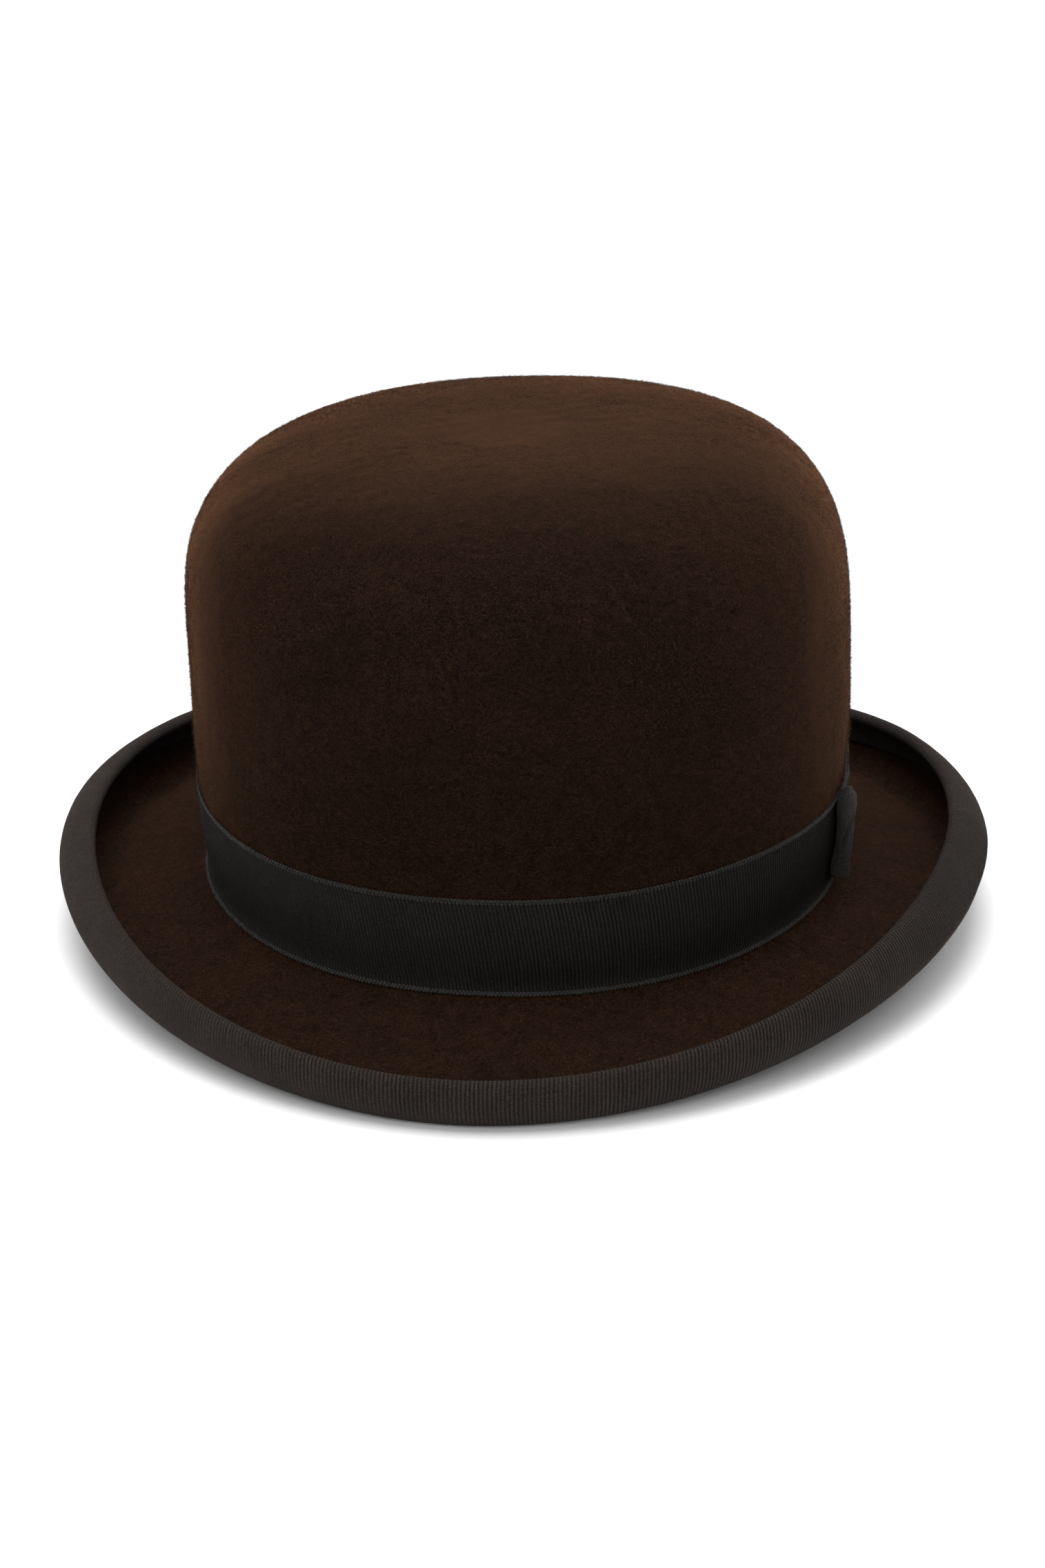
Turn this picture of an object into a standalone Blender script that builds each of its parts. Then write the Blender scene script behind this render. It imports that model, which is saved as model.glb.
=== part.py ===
"""Bowler hat: a stiff felt body with ribbon band, side bow and bound rolled brim.

Frame: metres, +Z up, origin on the table under the middle of the hat.
The front of the hat points along -Y and the bow is on the wearer's left, +X.
The round of the hat is walked by an angle: 0 is the left side (+X), a quarter
turn is the back (+Y) and three quarters is the front (-Y).
"""
from math import asin, atan, atan2, cos, hypot, pi, radians, sin

import bmesh
import bpy
from mathutils import Vector

# ---------------------------------------------------------------- dimensions
ROUND_STEPS = 48                   # stations around the hat
GAP = 0.0003                       # air between touching pieces
FELT = 0.0024                      # thickness of the stiffened felt

# Crown, measured on its outer surface.
CROWN_HALF_WIDTH = 0.0904          # at the bulge
CROWN_HALF_LENGTH = 0.1050
CROWN_PLAN_POWER = 2.21            # 2 is an ellipse, more is squarer
CROWN_HEIGHT = 0.1376              # table to the top
BULGE_HEIGHT = 0.0830              # table to the widest level
BASE_RATIO = 0.9648                # base oval over bulge oval
WALL_POWER = 3.5                   # how late the wall pulls in towards its base
DOME_POWER_Z = 3.17
DOME_POWER_R = 4.10
CROWN_TILT = 0.039                 # the top is a little higher on the bow side
CROWN_LEAN = -0.0050               # and a little off centre, as hand blocking leaves it

# Where the wall turns into the brim, at the front, sides and back.
BREAK_HEIGHTS = (0.0183, 0.0226, 0.0180)
BREAK_RADIUS = 0.0070              # of the felt's middle surface

# Brim, measured over its ribbon binding.
BRIM_HALF_WIDTH = 0.1306
BRIM_HALF_LENGTH = 0.1572
BRIM_PLAN_POWER = 1.91
CURL_RADII = (0.01145, 0.0117, 0.01145)
CURL_HEIGHTS = (0.0100, 0.0200, 0.0100)
CURL_ENDS = (13.8, 77.6, 13.8)     # degrees past upright at the edge
CURL_HEIGHT_POWER = 2.0
CURL_END_POWER = 3.0
CURL_ROWS = 10
TABLE = 0.0                        # the felt is pressed flat where it rests
LAND_HALF_ANGLE = radians(10)      # half angle of the land that meets the table

# Rings of the crown: -1 is the break, 0 the bulge and 1 the top.
WALL_SHARES = (-1.0, -0.8, -0.55, -0.3)
DOME_SHARES = (0.0, 0.08, 0.2, 0.34, 0.48, 0.61, 0.73, 0.83, 0.91, 0.975)

# Ribbons.
RIBBON = 0.0006                    # thickness of the grosgrain
BINDING_OUTSIDE = 0.0138           # width on the outer face of the rolled edge
BINDING_INSIDE = 0.0080            # width on its inner face
BINDING_LIFT = 0.0002              # its lowest edge clears the table
BAND_BELOW_BREAK = 0.0057          # the band follows the turn of the felt
BAND_ABOVE_BREAK = 0.0238
BAND_TILT = 0.0007                 # the band sits a little higher on the bow side
BOW_ANGLE = 3.0                    # degrees round from the left side to the knot
BOW_HALF_LENGTH = 0.0360
BOW_LOW = -0.0030                  # lower and upper edge, from the break
BOW_HIGH = 0.0240
BOW_GATHER = 0.25                  # how much the knot narrows the ribbon
BOW_WAIST = 0.55                   # opening of a fold at mid height over its ends
BOW_FRONT_PUFF = 0.0036
BOW_BACK_PUFF = 0.0020
KNOT_HALF_LENGTH = 0.0055
KNOT_CLEARANCE = 1.15              # the loops lie flat this far out of the knot
BOW_STEPS = 28
KNOT_STEPS = 20

# Inside.
LEATHER = 0.0012
SWEATBAND_LOW = -0.0040            # from the break
SWEATBAND_HIGH = 0.0510
SWEATBAND_DEPTH = FELT + 0.0020    # middle of the leather, from the outer surface
REED_RADIUS = 0.0008
TAPE = 0.0005
TAPE_HALF_GAP = 0.0011             # half the space inside the folded tape
TAPE_HIGH = 0.0010                 # upper edge of the tape, from the break
INNER_BOW_HALF_LENGTH = 0.0110
INNER_BOW_RISE = 0.0068
INNER_BOW_HALF_WAIST = 0.0016
INNER_BOW_HALF_FLARE = 0.0026      # added to the waist at its ends
INNER_BOW_THICKNESS = 0.0010
INNER_BOW_SWELL = 0.0010           # added to the thickness towards its ends
LABEL_ALONG = (0.020, 0.038)       # from the middle of the back
LABEL_RISE = (0.020, 0.031)        # above the break
LABEL_THICKNESS = 0.0004
SATIN = 0.0004
LINING_LOW = 0.0030
LINING_END = 40.0                  # degrees up the dome where the side piece ends
LINING_SAG = 0.0040                # how far it hangs off the felt there
PIPING_RADIUS = 0.0008
PIPING_LEAN = radians(41)          # way of the piping from the side piece's end
ROUND_CORD_STEPS = 6
TIP_RISE = 0.0050                  # middle of the tip above its edge
TIP_INSET = 0.0012                 # from the middle of the piping
SHIELD_RATIO = 0.90                # size of the clear sheet over the tip
SHIELD_DROP = 0.0016               # how far it hangs below the tip


# ------------------------------------------------------------------- shape
def plan_point(angle, half_width, half_length, power):
    """A point of a squared oval."""
    c = cos(angle)
    s = sin(angle)
    x = half_width * abs(c) ** (2 / power) * (1 if c >= 0 else -1)
    y = half_length * abs(s) ** (2 / power) * (1 if s >= 0 else -1)
    return Vector((x, y, 0))


def around(angle, values, power=2.0):
    """Blend a front, side and back value round the hat."""
    front, side, back = values
    share = abs(cos(angle)) ** power
    end = front if sin(angle) < 0 else back
    return side * share + end * (1 - share)


def leaned(point):
    """The slight tilt and lean of the crown, growing towards its top."""
    share = (max(point.z, 0.0) / CROWN_HEIGHT) ** 3
    x = point.x + CROWN_LEAN * share
    return Vector((x, point.y, point.z + CROWN_TILT * point.x * share))


class Station:
    """The section of the felt at one angle, by the middle of its thickness.

    Depth is measured from the outer and upper surface of the felt towards
    its inner and under surface, so 0 and FELT are the two faces.
    """

    def __init__(self, angle):
        self.angle = angle
        half = FELT / 2
        bulge = plan_point(angle, CROWN_HALF_WIDTH - half, CROWN_HALF_LENGTH - half,
                           CROWN_PLAN_POWER)
        rim = plan_point(angle, BRIM_HALF_WIDTH, BRIM_HALF_LENGTH, BRIM_PLAN_POWER)
        self.radius = bulge.length
        self.radial = bulge.normalized()
        self.base = bulge * BASE_RATIO
        self.outward = (rim - self.base).normalized()
        self.break_height = around(angle, BREAK_HEIGHTS)
        rise = BULGE_HEIGHT - self.break_height
        self.wall_rise = rise
        self.lean = atan(self.radius * (1 - BASE_RATIO) * WALL_POWER / rise)
        # Centre of the turn from wall to brim, and of the curl, in the section.
        self.turn = (BREAK_RADIUS * cos(self.lean),
                     self.break_height - BREAK_RADIUS * sin(self.lean))
        over_felt = half + GAP + RIBBON
        curl_outside = around(angle, CURL_RADII)
        self.curl_radius = curl_outside - over_felt
        self.curl = ((rim - self.base).length - curl_outside,
                     around(angle, CURL_HEIGHTS, CURL_HEIGHT_POWER))
        self.curl_end = radians(around(angle, CURL_ENDS, CURL_END_POWER))
        run = self.curl[0] - self.turn[0]
        drop = self.curl[1] - self.turn[1]
        self.slope = atan2(drop, run) - asin((self.curl_radius - BREAK_RADIUS)
                                             / hypot(run, drop))

    def section_point(self, across, height, facing, depth):
        """A point of the brim's section, moved to a depth along its facing."""
        shift = depth - FELT / 2
        x = across + shift * cos(facing)
        z = height + shift * sin(facing)
        point = self.base + self.outward * x
        point.z = z
        return leaned(point)

    def on_turn(self, facing, depth):
        """On the turn from wall to brim; facing runs from 180 - lean to 270 degrees."""
        x = self.turn[0] + BREAK_RADIUS * cos(facing)
        z = self.turn[1] + BREAK_RADIUS * sin(facing)
        return self.section_point(x, z, facing, depth)

    def on_brim(self, share, depth):
        """On the straight run of the brim, from the turn (0) to the curl (1)."""
        facing = self.curl_start()
        x0 = self.turn[0] + BREAK_RADIUS * cos(facing)
        z0 = self.turn[1] + BREAK_RADIUS * sin(facing)
        x1 = self.curl[0] + self.curl_radius * cos(facing)
        z1 = self.curl[1] + self.curl_radius * sin(facing)
        return self.section_point(x0 + (x1 - x0) * share, z0 + (z1 - z0) * share,
                                  facing, depth)

    def on_curl(self, facing, depth):
        """On the curl; facing runs from 270 degrees plus the slope to 360 plus the end."""
        x = self.curl[0] + self.curl_radius * cos(facing)
        z = self.curl[1] + self.curl_radius * sin(facing)
        return self.section_point(x, z, facing, depth)

    def round_edge(self, turn, reach):
        """Round the felt's edge: turn 0 faces under, a half turn faces up."""
        facing = self.curl_finish()
        x = self.curl[0] + self.curl_radius * cos(facing)
        z = self.curl[1] + self.curl_radius * sin(facing)
        x += reach * cos(facing + turn)
        z += reach * sin(facing + turn)
        return self.section_point(x, z, facing, FELT / 2)

    def turn_start(self):
        return pi - self.lean

    def curl_start(self):
        return 1.5 * pi + self.slope

    def curl_finish(self):
        return 2 * pi + self.curl_end

    def crown_section(self, share):
        """Radius and height of the crown; share below 0 is the wall, above 0 the dome."""
        if share <= 0:
            ratio = 1 - (1 - BASE_RATIO) * (-share) ** WALL_POWER
            return self.radius * ratio, BULGE_HEIGHT + self.wall_rise * share
        lift = sin(share * pi / 2) ** (2 / DOME_POWER_Z)
        ratio = max(cos(share * pi / 2), 0.0) ** (2 / DOME_POWER_R)
        height = BULGE_HEIGHT + (CROWN_HEIGHT - FELT / 2 - BULGE_HEIGHT) * lift
        return self.radius * ratio, height

    def on_crown(self, share, depth):
        """On the crown: share -1 is the break, 0 the bulge and 1 the top."""
        step = 0.002
        r0, z0 = self.crown_section(share - step)
        r1, z1 = self.crown_section(min(share + step, 1.0))
        length = hypot(r1 - r0, z1 - z0)
        radius, height = self.crown_section(share)
        shift = depth - FELT / 2
        radius -= shift * (z1 - z0) / length
        height += shift * (r1 - r0) / length
        point = self.radial * radius
        point.z = height
        return leaned(point)

    def on_wall(self, rise, depth):
        """On the wall at a height above the break; below it the wall runs on straight."""
        return self.on_crown(rise / self.wall_rise - 1, depth)

    def on_band(self, rise, depth):
        """As on_wall, but below the break it follows the turn of the felt."""
        rise += BAND_TILT * cos(self.angle)
        if rise >= 0:
            return self.on_wall(rise, depth)
        return self.on_turn(self.turn_start() - rise / BREAK_RADIUS, depth)


STATIONS = [Station(2 * pi * step / ROUND_STEPS) for step in range(ROUND_STEPS)]


# ------------------------------------------------------------- mesh helpers
def spread(first, last, count):
    """Evenly spaced values, both ends included."""
    return [first + (last - first) * step / (count - 1) for step in range(count)]


def make_material(name, colour, roughness, transmission=0.0):
    material = bpy.data.materials.new(name)
    material.use_nodes = True
    shader = material.node_tree.nodes["Principled BSDF"]
    shader.inputs["Base Color"].default_value = (*colour, 1.0)
    shader.inputs["Roughness"].default_value = roughness
    shader.inputs["Metallic"].default_value = 0.0
    shader.inputs["Transmission Weight"].default_value = transmission
    material.diffuse_color = (*colour, 1.0)
    return material


def make_object(name, mesh, material):
    mesh.materials.append(material)
    mesh.shade_smooth()
    mesh.set_sharp_from_angle(angle=radians(50))
    piece = bpy.data.objects.new(name, mesh)
    bpy.context.scene.collection.objects.link(piece)
    return piece


def finish_mesh(name, model, material):
    bmesh.ops.recalc_face_normals(model, faces=model.faces)
    if model.calc_volume(signed=True) < 0:
        bmesh.ops.reverse_faces(model, faces=model.faces)
    mesh = bpy.data.meshes.new(name)
    model.to_mesh(mesh)
    model.free()
    return make_object(name, mesh, material)


def skin(name, rings, material, closed_section):
    """Join closed rings of points into one closed solid.

    A closed section comes back to its first ring. An open one ends in a
    single point at each end.
    """
    model = bmesh.new()
    rows = [[model.verts.new(point) for point in ring] for ring in rings]
    if closed_section:
        pairs = list(zip(rows, rows[1:] + rows[:1]))
    else:
        pairs = list(zip(rows, rows[1:]))
    for upper, lower in pairs:
        count = max(len(upper), len(lower))
        for k in range(count):
            n = k + 1
            corners = [upper[k % len(upper)], upper[n % len(upper)],
                       lower[n % len(lower)], lower[k % len(lower)]]
            model.faces.new(list(dict.fromkeys(corners)))
    return finish_mesh(name, model, material)


def ring(place):
    """The same place in every section, all the way round the hat."""
    return [place(station) for station in STATIONS]


def flattened(rings, level):
    """Press what would lie below a level flat against it."""
    return [[Vector((p.x, p.y, max(p.z, level))) for p in points] for points in rings]


# ------------------------------------------------------------------ pieces
def felt_face(depth):
    """Rings of one face of the felt, from the top of the crown to its edge."""
    rings = [[Vector((CROWN_LEAN, 0.0, CROWN_HEIGHT - depth))]]
    for share in reversed(WALL_SHARES + DOME_SHARES):
        rings.append(ring(lambda s, v=share: s.on_crown(v, depth)))
    for share in (0.25, 0.5, 0.75):
        rings.append(ring(lambda s, v=share: s.on_turn(
            s.turn_start() + (s.curl_start() - s.turn_start()) * v, depth)))
    for share in (0.0, 0.5):
        rings.append(ring(lambda s, v=share: s.on_brim(v, depth)))
    land_end = 1.5 * pi + LAND_HALF_ANGLE
    for facing in (1.5 * pi - LAND_HALF_ANGLE, land_end):
        rings.append(ring(lambda s, v=facing: s.on_curl(max(v, s.curl_start()), depth)))
    for share in spread(1 / CURL_ROWS, 1.0, CURL_ROWS):
        rings.append(ring(lambda s, v=share: s.on_curl(
            land_end + (s.curl_finish() - land_end) * v, depth)))
    return rings


def make_felt_body(material):
    upper = felt_face(0.0)
    edge = [ring(lambda s, v=turn: s.round_edge(v, FELT / 2)) for turn in
            (radians(120), radians(60))]
    under = felt_face(FELT)
    rings = flattened(upper + edge + list(reversed(under)), TABLE)
    return skin("felt_body", rings, material, closed_section=False)


def make_brim_binding(material):
    near = GAP
    far = GAP + RIBBON

    def outside(station, share, out):
        start = station.curl_finish() - BINDING_OUTSIDE / (station.curl_radius + FELT / 2)
        facing = start + (station.curl_finish() - start) * share
        return station.on_curl(facing, FELT + out)

    def inside(station, share, out):
        start = station.curl_finish() - BINDING_INSIDE / (station.curl_radius - FELT / 2)
        facing = start + (station.curl_finish() - start) * share
        return station.on_curl(facing, -out)

    def path(out):
        rings = [ring(lambda s, v=share: outside(s, v, out)) for share in spread(0, 1, 7)]
        for turn in (45, 90, 135):
            rings.append(ring(lambda s, v=turn: s.round_edge(radians(v), FELT / 2 + out)))
        rings += [ring(lambda s, v=share: inside(s, v, out)) for share in spread(1, 0, 4)]
        return rings

    rings = flattened(path(far) + list(reversed(path(near))), BINDING_LIFT)
    return skin("brim_binding", rings, material, closed_section=True)


def wall_strip(name, material, place, rises, near, far):
    """A strip standing round the crown between two depths."""
    rings = [ring(lambda s, v=rise: place(s, v, near)) for rise in rises]
    rings += [ring(lambda s, v=rise: place(s, v, far)) for rise in reversed(rises)]
    return skin(name, rings, material, closed_section=True)


def make_hat_band(material):
    rises = (-BAND_BELOW_BREAK, -BAND_BELOW_BREAK / 2, 0.0, BAND_ABOVE_BREAK / 2,
             BAND_ABOVE_BREAK)
    return wall_strip("hat_band", material, Station.on_band, rises, -GAP - RIBBON, -GAP)


def bow_point(along, rise, stand):
    """A point by the band: along it from the knot, above the break, off its face."""
    angle = radians(BOW_ANGLE)
    pace = (CROWN_HALF_WIDTH * sin(angle)) ** 2 + (CROWN_HALF_LENGTH * cos(angle)) ** 2
    station = Station(angle + along / pace ** 0.5)
    return station.on_band(rise, -GAP - RIBBON - stand)


def signed_power(value, power):
    return abs(value) ** power * (1 if value >= 0 else -1)


def past_knot(reach):
    """How far out of the knot, from 0 at its edge to 1 at the fold."""
    edge = KNOT_CLEARANCE * KNOT_HALF_LENGTH / BOW_HALF_LENGTH
    return max(abs(reach) - edge, 0.0) / (1 - edge)


def bow_rise(reach, row):
    """Height of a row of the bow; the knot gathers the rows together."""
    middle = (BOW_LOW + BOW_HIGH) / 2
    gather = 1 - BOW_GATHER * (1 - min(past_knot(reach) * 2.2, 1.0)) ** 2
    return middle + (BOW_HIGH - BOW_LOW) * (row - 0.5) * gather


def make_bow_loops(material):
    """One ribbon ring: flat under the knot and opening into a fold at each end."""
    near = 3 * GAP + RIBBON + RIBBON / 2       # middle of the layer next to the band
    far = near + RIBBON + GAP                  # middle of the layer under the knot
    rings_out = []
    rings_in = []
    for row in spread(0.0, 1.0, 5):
        flare = BOW_WAIST + (1 - BOW_WAIST) * abs(2 * row - 1) ** 1.5
        outer = []
        inner = []
        for step in range(BOW_STEPS):
            turn = 2 * pi * (step + 0.5) / BOW_STEPS
            reach = signed_power(cos(turn), 0.8)
            puff = BOW_FRONT_PUFF if reach < 0 else BOW_BACK_PUFF
            top = far + puff * flare * past_knot(reach) ** 1.2
            for bucket, grow in ((outer, RIBBON / 2), (inner, -RIBBON / 2)):
                along = BOW_HALF_LENGTH * reach + grow * signed_power(reach, 3)
                stand = (near + top) / 2 + ((top - near) / 2 + grow) * signed_power(
                    sin(turn), 0.8)
                bucket.append(bow_point(along, bow_rise(reach, row), stand))
        rings_out.append(outer)
        rings_in.append(inner)
    return skin("bow_loops", rings_out + list(reversed(rings_in)), material,
                closed_section=True)


def make_bow_knot(material):
    """A short ribbon wrapped round the gathered middle of the bow."""
    back = GAP
    front = 5 * GAP + 4 * RIBBON
    middle = (BOW_LOW + BOW_HIGH) / 2
    half_height = (BOW_HIGH - BOW_LOW) / 2 * (1 - BOW_GATHER) + 3 * GAP + 2 * RIBBON
    rings_out = []
    rings_in = []
    for share in spread(-1.0, 1.0, 5):
        crown = RIBBON * (1 - share ** 2)
        for bucket, cut in ((rings_out, 0.0), (rings_in, RIBBON)):
            loop = []
            for step in range(KNOT_STEPS):
                turn = 2 * pi * step / KNOT_STEPS
                half_stand = (front + crown - back) / 2 - cut
                stand = (front + crown + back) / 2 + half_stand * signed_power(
                    cos(turn), 0.45)
                rise = middle + (half_height + crown - cut) * signed_power(sin(turn), 0.45)
                loop.append(bow_point(KNOT_HALF_LENGTH * share, rise, stand))
            bucket.append(loop)
    return skin("bow_knot", rings_out + list(reversed(rings_in)), material,
                closed_section=True)


def make_sweatband(material):
    rises = spread(SWEATBAND_LOW, SWEATBAND_HIGH, 6)
    return wall_strip("sweatband", material, Station.on_wall, rises,
                      SWEATBAND_DEPTH - LEATHER / 2, SWEATBAND_DEPTH + LEATHER / 2)


def reed_rise():
    return SWEATBAND_LOW - GAP - REED_RADIUS


def make_sweatband_reed(material):
    """The springy reed along the lower edge of the sweatband."""
    rings = []
    for step in range(ROUND_CORD_STEPS):
        turn = 2 * pi * step / ROUND_CORD_STEPS
        rings.append(ring(lambda s, v=turn: s.on_wall(
            reed_rise() + REED_RADIUS * sin(v), SWEATBAND_DEPTH + REED_RADIUS * cos(v))))
    return skin("sweatband_reed", rings, material, closed_section=True)


def make_reed_tape(material):
    """The tape folded round the reed and stitched to both faces of the leather."""
    def path(half):
        places = [(TAPE_HIGH, -half)]
        for degree in (180, 225, 270, 315, 360):
            places.append((reed_rise() + half * sin(radians(degree)),
                           half * cos(radians(degree))))
        places.append((TAPE_HIGH, half))
        return [ring(lambda s, v=place: s.on_wall(v[0], SWEATBAND_DEPTH + v[1]))
                for place in places]

    rings = path(TAPE_HALF_GAP + TAPE) + list(reversed(path(TAPE_HALF_GAP)))
    return skin("reed_tape", rings, material, closed_section=True)


def lining_depth(share):
    """The lining lies on the felt low down and hangs off it at the shoulder."""
    shoulder = max(share, 0.0) / (LINING_END / 90)
    return FELT + GAP + LINING_SAG * shoulder ** 2


def make_lining_side(material):
    low = LINING_LOW / STATIONS[0].wall_rise - 1
    shares = (low, -0.75, -0.45, -0.15, 0.08, 0.2, 0.32, LINING_END / 90)
    rings = [ring(lambda s, v=share: s.on_crown(v, lining_depth(v))) for share in shares]
    rings += [ring(lambda s, v=share: s.on_crown(v, lining_depth(v) + SATIN))
              for share in reversed(shares)]
    return skin("lining_side", rings, material, closed_section=True)


def piping_centre(station):
    """The piping lies just past the end of the side piece."""
    depth = lining_depth(LINING_END / 90) + SATIN / 2
    point = station.on_crown(LINING_END / 90, depth)
    way = Vector((0, 0, sin(PIPING_LEAN))) - station.radial * cos(PIPING_LEAN)
    return point + way * (PIPING_RADIUS + GAP)


def make_lining_piping(material):
    rings = []
    for step in range(ROUND_CORD_STEPS):
        turn = 2 * pi * step / ROUND_CORD_STEPS
        rings.append([piping_centre(s) + s.radial * (PIPING_RADIUS * cos(turn))
                      + Vector((0, 0, PIPING_RADIUS * sin(turn))) for s in STATIONS])
    return skin("lining_piping", rings, material, closed_section=True)


def tip_rings(reach, drop, shares):
    """Rings of a low dome inside the piping."""
    rings = []
    for share in shares:
        points = []
        for station in STATIONS:
            rim = piping_centre(station)
            edge = rim - station.radial * TIP_INSET
            middle = Vector((CROWN_LEAN, 0.0, rim.z))
            point = middle + (edge - middle) * (share * reach)
            point.z += TIP_RISE * (1 - (share * reach) ** 2) - drop
            points.append(point)
        rings.append(points)
    return rings


def make_disc(name, material, reach, drop, thickness):
    """A thin low dome with the outline of the lining's tip."""
    shares = (0.3, 0.6, 0.82, 1.0)
    upper = tip_rings(reach, drop, shares)
    lower = tip_rings(reach, drop + thickness, shares)
    rise = TIP_RISE * (shares[0] * reach) ** 2
    level = sum(point.z for point in upper[0]) / len(upper[0]) + rise
    top = Vector((CROWN_LEAN, 0.0, level))
    bottom = Vector((CROWN_LEAN, 0.0, level - thickness))
    rings = [[top]] + upper + list(reversed(lower)) + [[bottom]]
    return skin(name, rings, material, closed_section=False)


def block(name, material, columns, rows, near, far):
    """A small curved patch of even thickness; near and far place its two faces."""
    grid = [(row, column) for row in rows for column in columns]
    model = bmesh.new()
    faces = {}
    for side, place in (("near", near), ("far", far)):
        for row, column in grid:
            faces[side, row, column] = model.verts.new(place(row, column))
    for i, row in enumerate(rows[:-1]):
        for j, column in enumerate(columns[:-1]):
            for side in ("near", "far"):
                quad = [faces[side, row, column], faces[side, row, columns[j + 1]],
                        faces[side, rows[i + 1], columns[j + 1]],
                        faces[side, rows[i + 1], column]]
                model.faces.new(quad)
    around_edge = [(rows[0], column) for column in columns]
    around_edge += [(row, columns[-1]) for row in rows[1:]]
    around_edge += [(rows[-1], column) for column in reversed(columns[:-1])]
    around_edge += [(row, columns[0]) for row in reversed(rows[1:-1])]
    for a, b in zip(around_edge, around_edge[1:] + around_edge[:1]):
        model.faces.new([faces[("near", *a)], faces[("near", *b)],
                         faces[("far", *b)], faces[("far", *a)]])
    return finish_mesh(name, model, material)


def back_point(along, rise, depth):
    """A point inside the hat at the back: across from the middle, above the break."""
    return Station(pi / 2 - along / CROWN_HALF_WIDTH).on_wall(rise, depth)


def make_sweatband_bow(material):
    """The small flat bow over the joint of the leather at the back."""
    leather_face = SWEATBAND_DEPTH + LEATHER / 2 + GAP
    columns = [INNER_BOW_HALF_LENGTH * share for share in
               (-1.0, -0.72, -0.36, -0.11, 0.11, 0.36, 0.72, 1.0)]

    def place(row, along, stand):
        reach = abs(along) / INNER_BOW_HALF_LENGTH
        half_height = INNER_BOW_HALF_WAIST + INNER_BOW_HALF_FLARE * reach ** 0.8
        return back_point(along, INNER_BOW_RISE + row * half_height, leather_face + stand)

    def near(row, along):
        return place(row, along, 0.0)

    def far(row, along):
        reach = abs(along) / INNER_BOW_HALF_LENGTH
        swell = INNER_BOW_SWELL * reach * (1.6 - reach)
        return place(row, along, INNER_BOW_THICKNESS + swell)

    return block("sweatband_bow", material, columns, (-1.0, 0.0, 1.0), near, far)


def make_size_label(material):
    """A small blank paper label on the leather, beside the joint."""
    leather_face = SWEATBAND_DEPTH + LEATHER / 2 + GAP
    return block("size_label", material, spread(*LABEL_ALONG, 4), spread(*LABEL_RISE, 2),
                 lambda row, column: back_point(column, row, leather_face),
                 lambda row, column: back_point(column, row, leather_face + LABEL_THICKNESS))


def build_hat():
    for old in list(bpy.data.objects):
        bpy.data.objects.remove(old, do_unlink=True)
    felt = make_material("brown_felt", (0.045, 0.026, 0.017), 0.95)
    ribbon = make_material("charcoal_grosgrain", (0.020, 0.019, 0.018), 0.75)
    leather = make_material("tan_leather", (0.20, 0.095, 0.045), 0.50)
    reed = make_material("reed_plastic", (0.55, 0.52, 0.45), 0.45)
    tape = make_material("reed_tape_cloth", (0.035, 0.022, 0.016), 0.70)
    satin = make_material("bronze_satin", (0.23, 0.15, 0.085), 0.35)
    piping = make_material("piping_cord", (0.10, 0.055, 0.030), 0.55)
    clear = make_material("clear_sheet", (0.95, 0.95, 0.95), 0.08, transmission=0.9)
    paper = make_material("label_paper", (0.80, 0.77, 0.70), 0.80)
    make_felt_body(felt)
    make_brim_binding(ribbon)
    make_hat_band(ribbon)
    make_bow_loops(ribbon)
    make_bow_knot(ribbon)
    make_sweatband(leather)
    make_sweatband_reed(reed)
    make_reed_tape(tape)
    make_sweatband_bow(ribbon)
    make_size_label(paper)
    make_lining_side(satin)
    make_lining_piping(piping)
    make_disc("lining_tip", satin, 1.0, 0.0, SATIN)
    make_disc("tip_shield", clear, SHIELD_RATIO, SHIELD_DROP, SATIN)


build_hat()
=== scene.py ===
"""Bowler hat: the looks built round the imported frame.

Frame: metres, +Z up, the front of the hat towards -Y, the bow on +X.
The round of the hat is walked by an angle: 0 is the left side (+X), a quarter
turn is the back (+Y) and three quarters is the front (-Y).
"""
from math import cos, pi, radians, sin

import bpy
import numpy as np
from mathutils import Matrix, Vector


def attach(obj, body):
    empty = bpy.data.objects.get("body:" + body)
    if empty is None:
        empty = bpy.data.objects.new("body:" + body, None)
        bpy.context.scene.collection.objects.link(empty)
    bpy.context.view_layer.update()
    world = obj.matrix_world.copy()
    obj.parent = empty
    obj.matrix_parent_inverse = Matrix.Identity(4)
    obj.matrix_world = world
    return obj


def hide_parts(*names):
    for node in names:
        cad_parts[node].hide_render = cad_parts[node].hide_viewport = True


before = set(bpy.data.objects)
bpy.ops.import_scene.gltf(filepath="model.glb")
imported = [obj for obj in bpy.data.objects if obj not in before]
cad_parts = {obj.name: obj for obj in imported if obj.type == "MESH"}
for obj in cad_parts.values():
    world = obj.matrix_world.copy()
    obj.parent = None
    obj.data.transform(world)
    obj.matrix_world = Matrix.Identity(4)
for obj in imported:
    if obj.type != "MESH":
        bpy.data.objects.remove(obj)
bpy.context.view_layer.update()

# ---------------------------------------------------------------- dimensions
GAP = 0.0003                       # air between touching CAD pieces
FELT = 0.0024                      # thickness
CROWN_HALF_WIDTH = 0.0904          # at the bulge
CROWN_HALF_LENGTH = 0.1050
CROWN_PLAN_POWER = 2.21            # 2 is an ellipse, more is squarer
CROWN_HEIGHT = 0.1376              # floor to the top
BULGE_HEIGHT = 0.0830              # floor to the widest level
BASE_RATIO = 0.9648                # base oval over bulge oval
WALL_POWER = 3.5                   # how late the wall pulls in towards its base
DOME_POWER_Z = 3.17
DOME_POWER_R = 4.10
CROWN_TILT = 0.039                 # the top is a little higher on the bow side
CROWN_LEAN = -0.0050               # and a little off centre
CROWN_SHOULDER = 0.011             # how much fuller its shoulder is on the -X side
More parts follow.
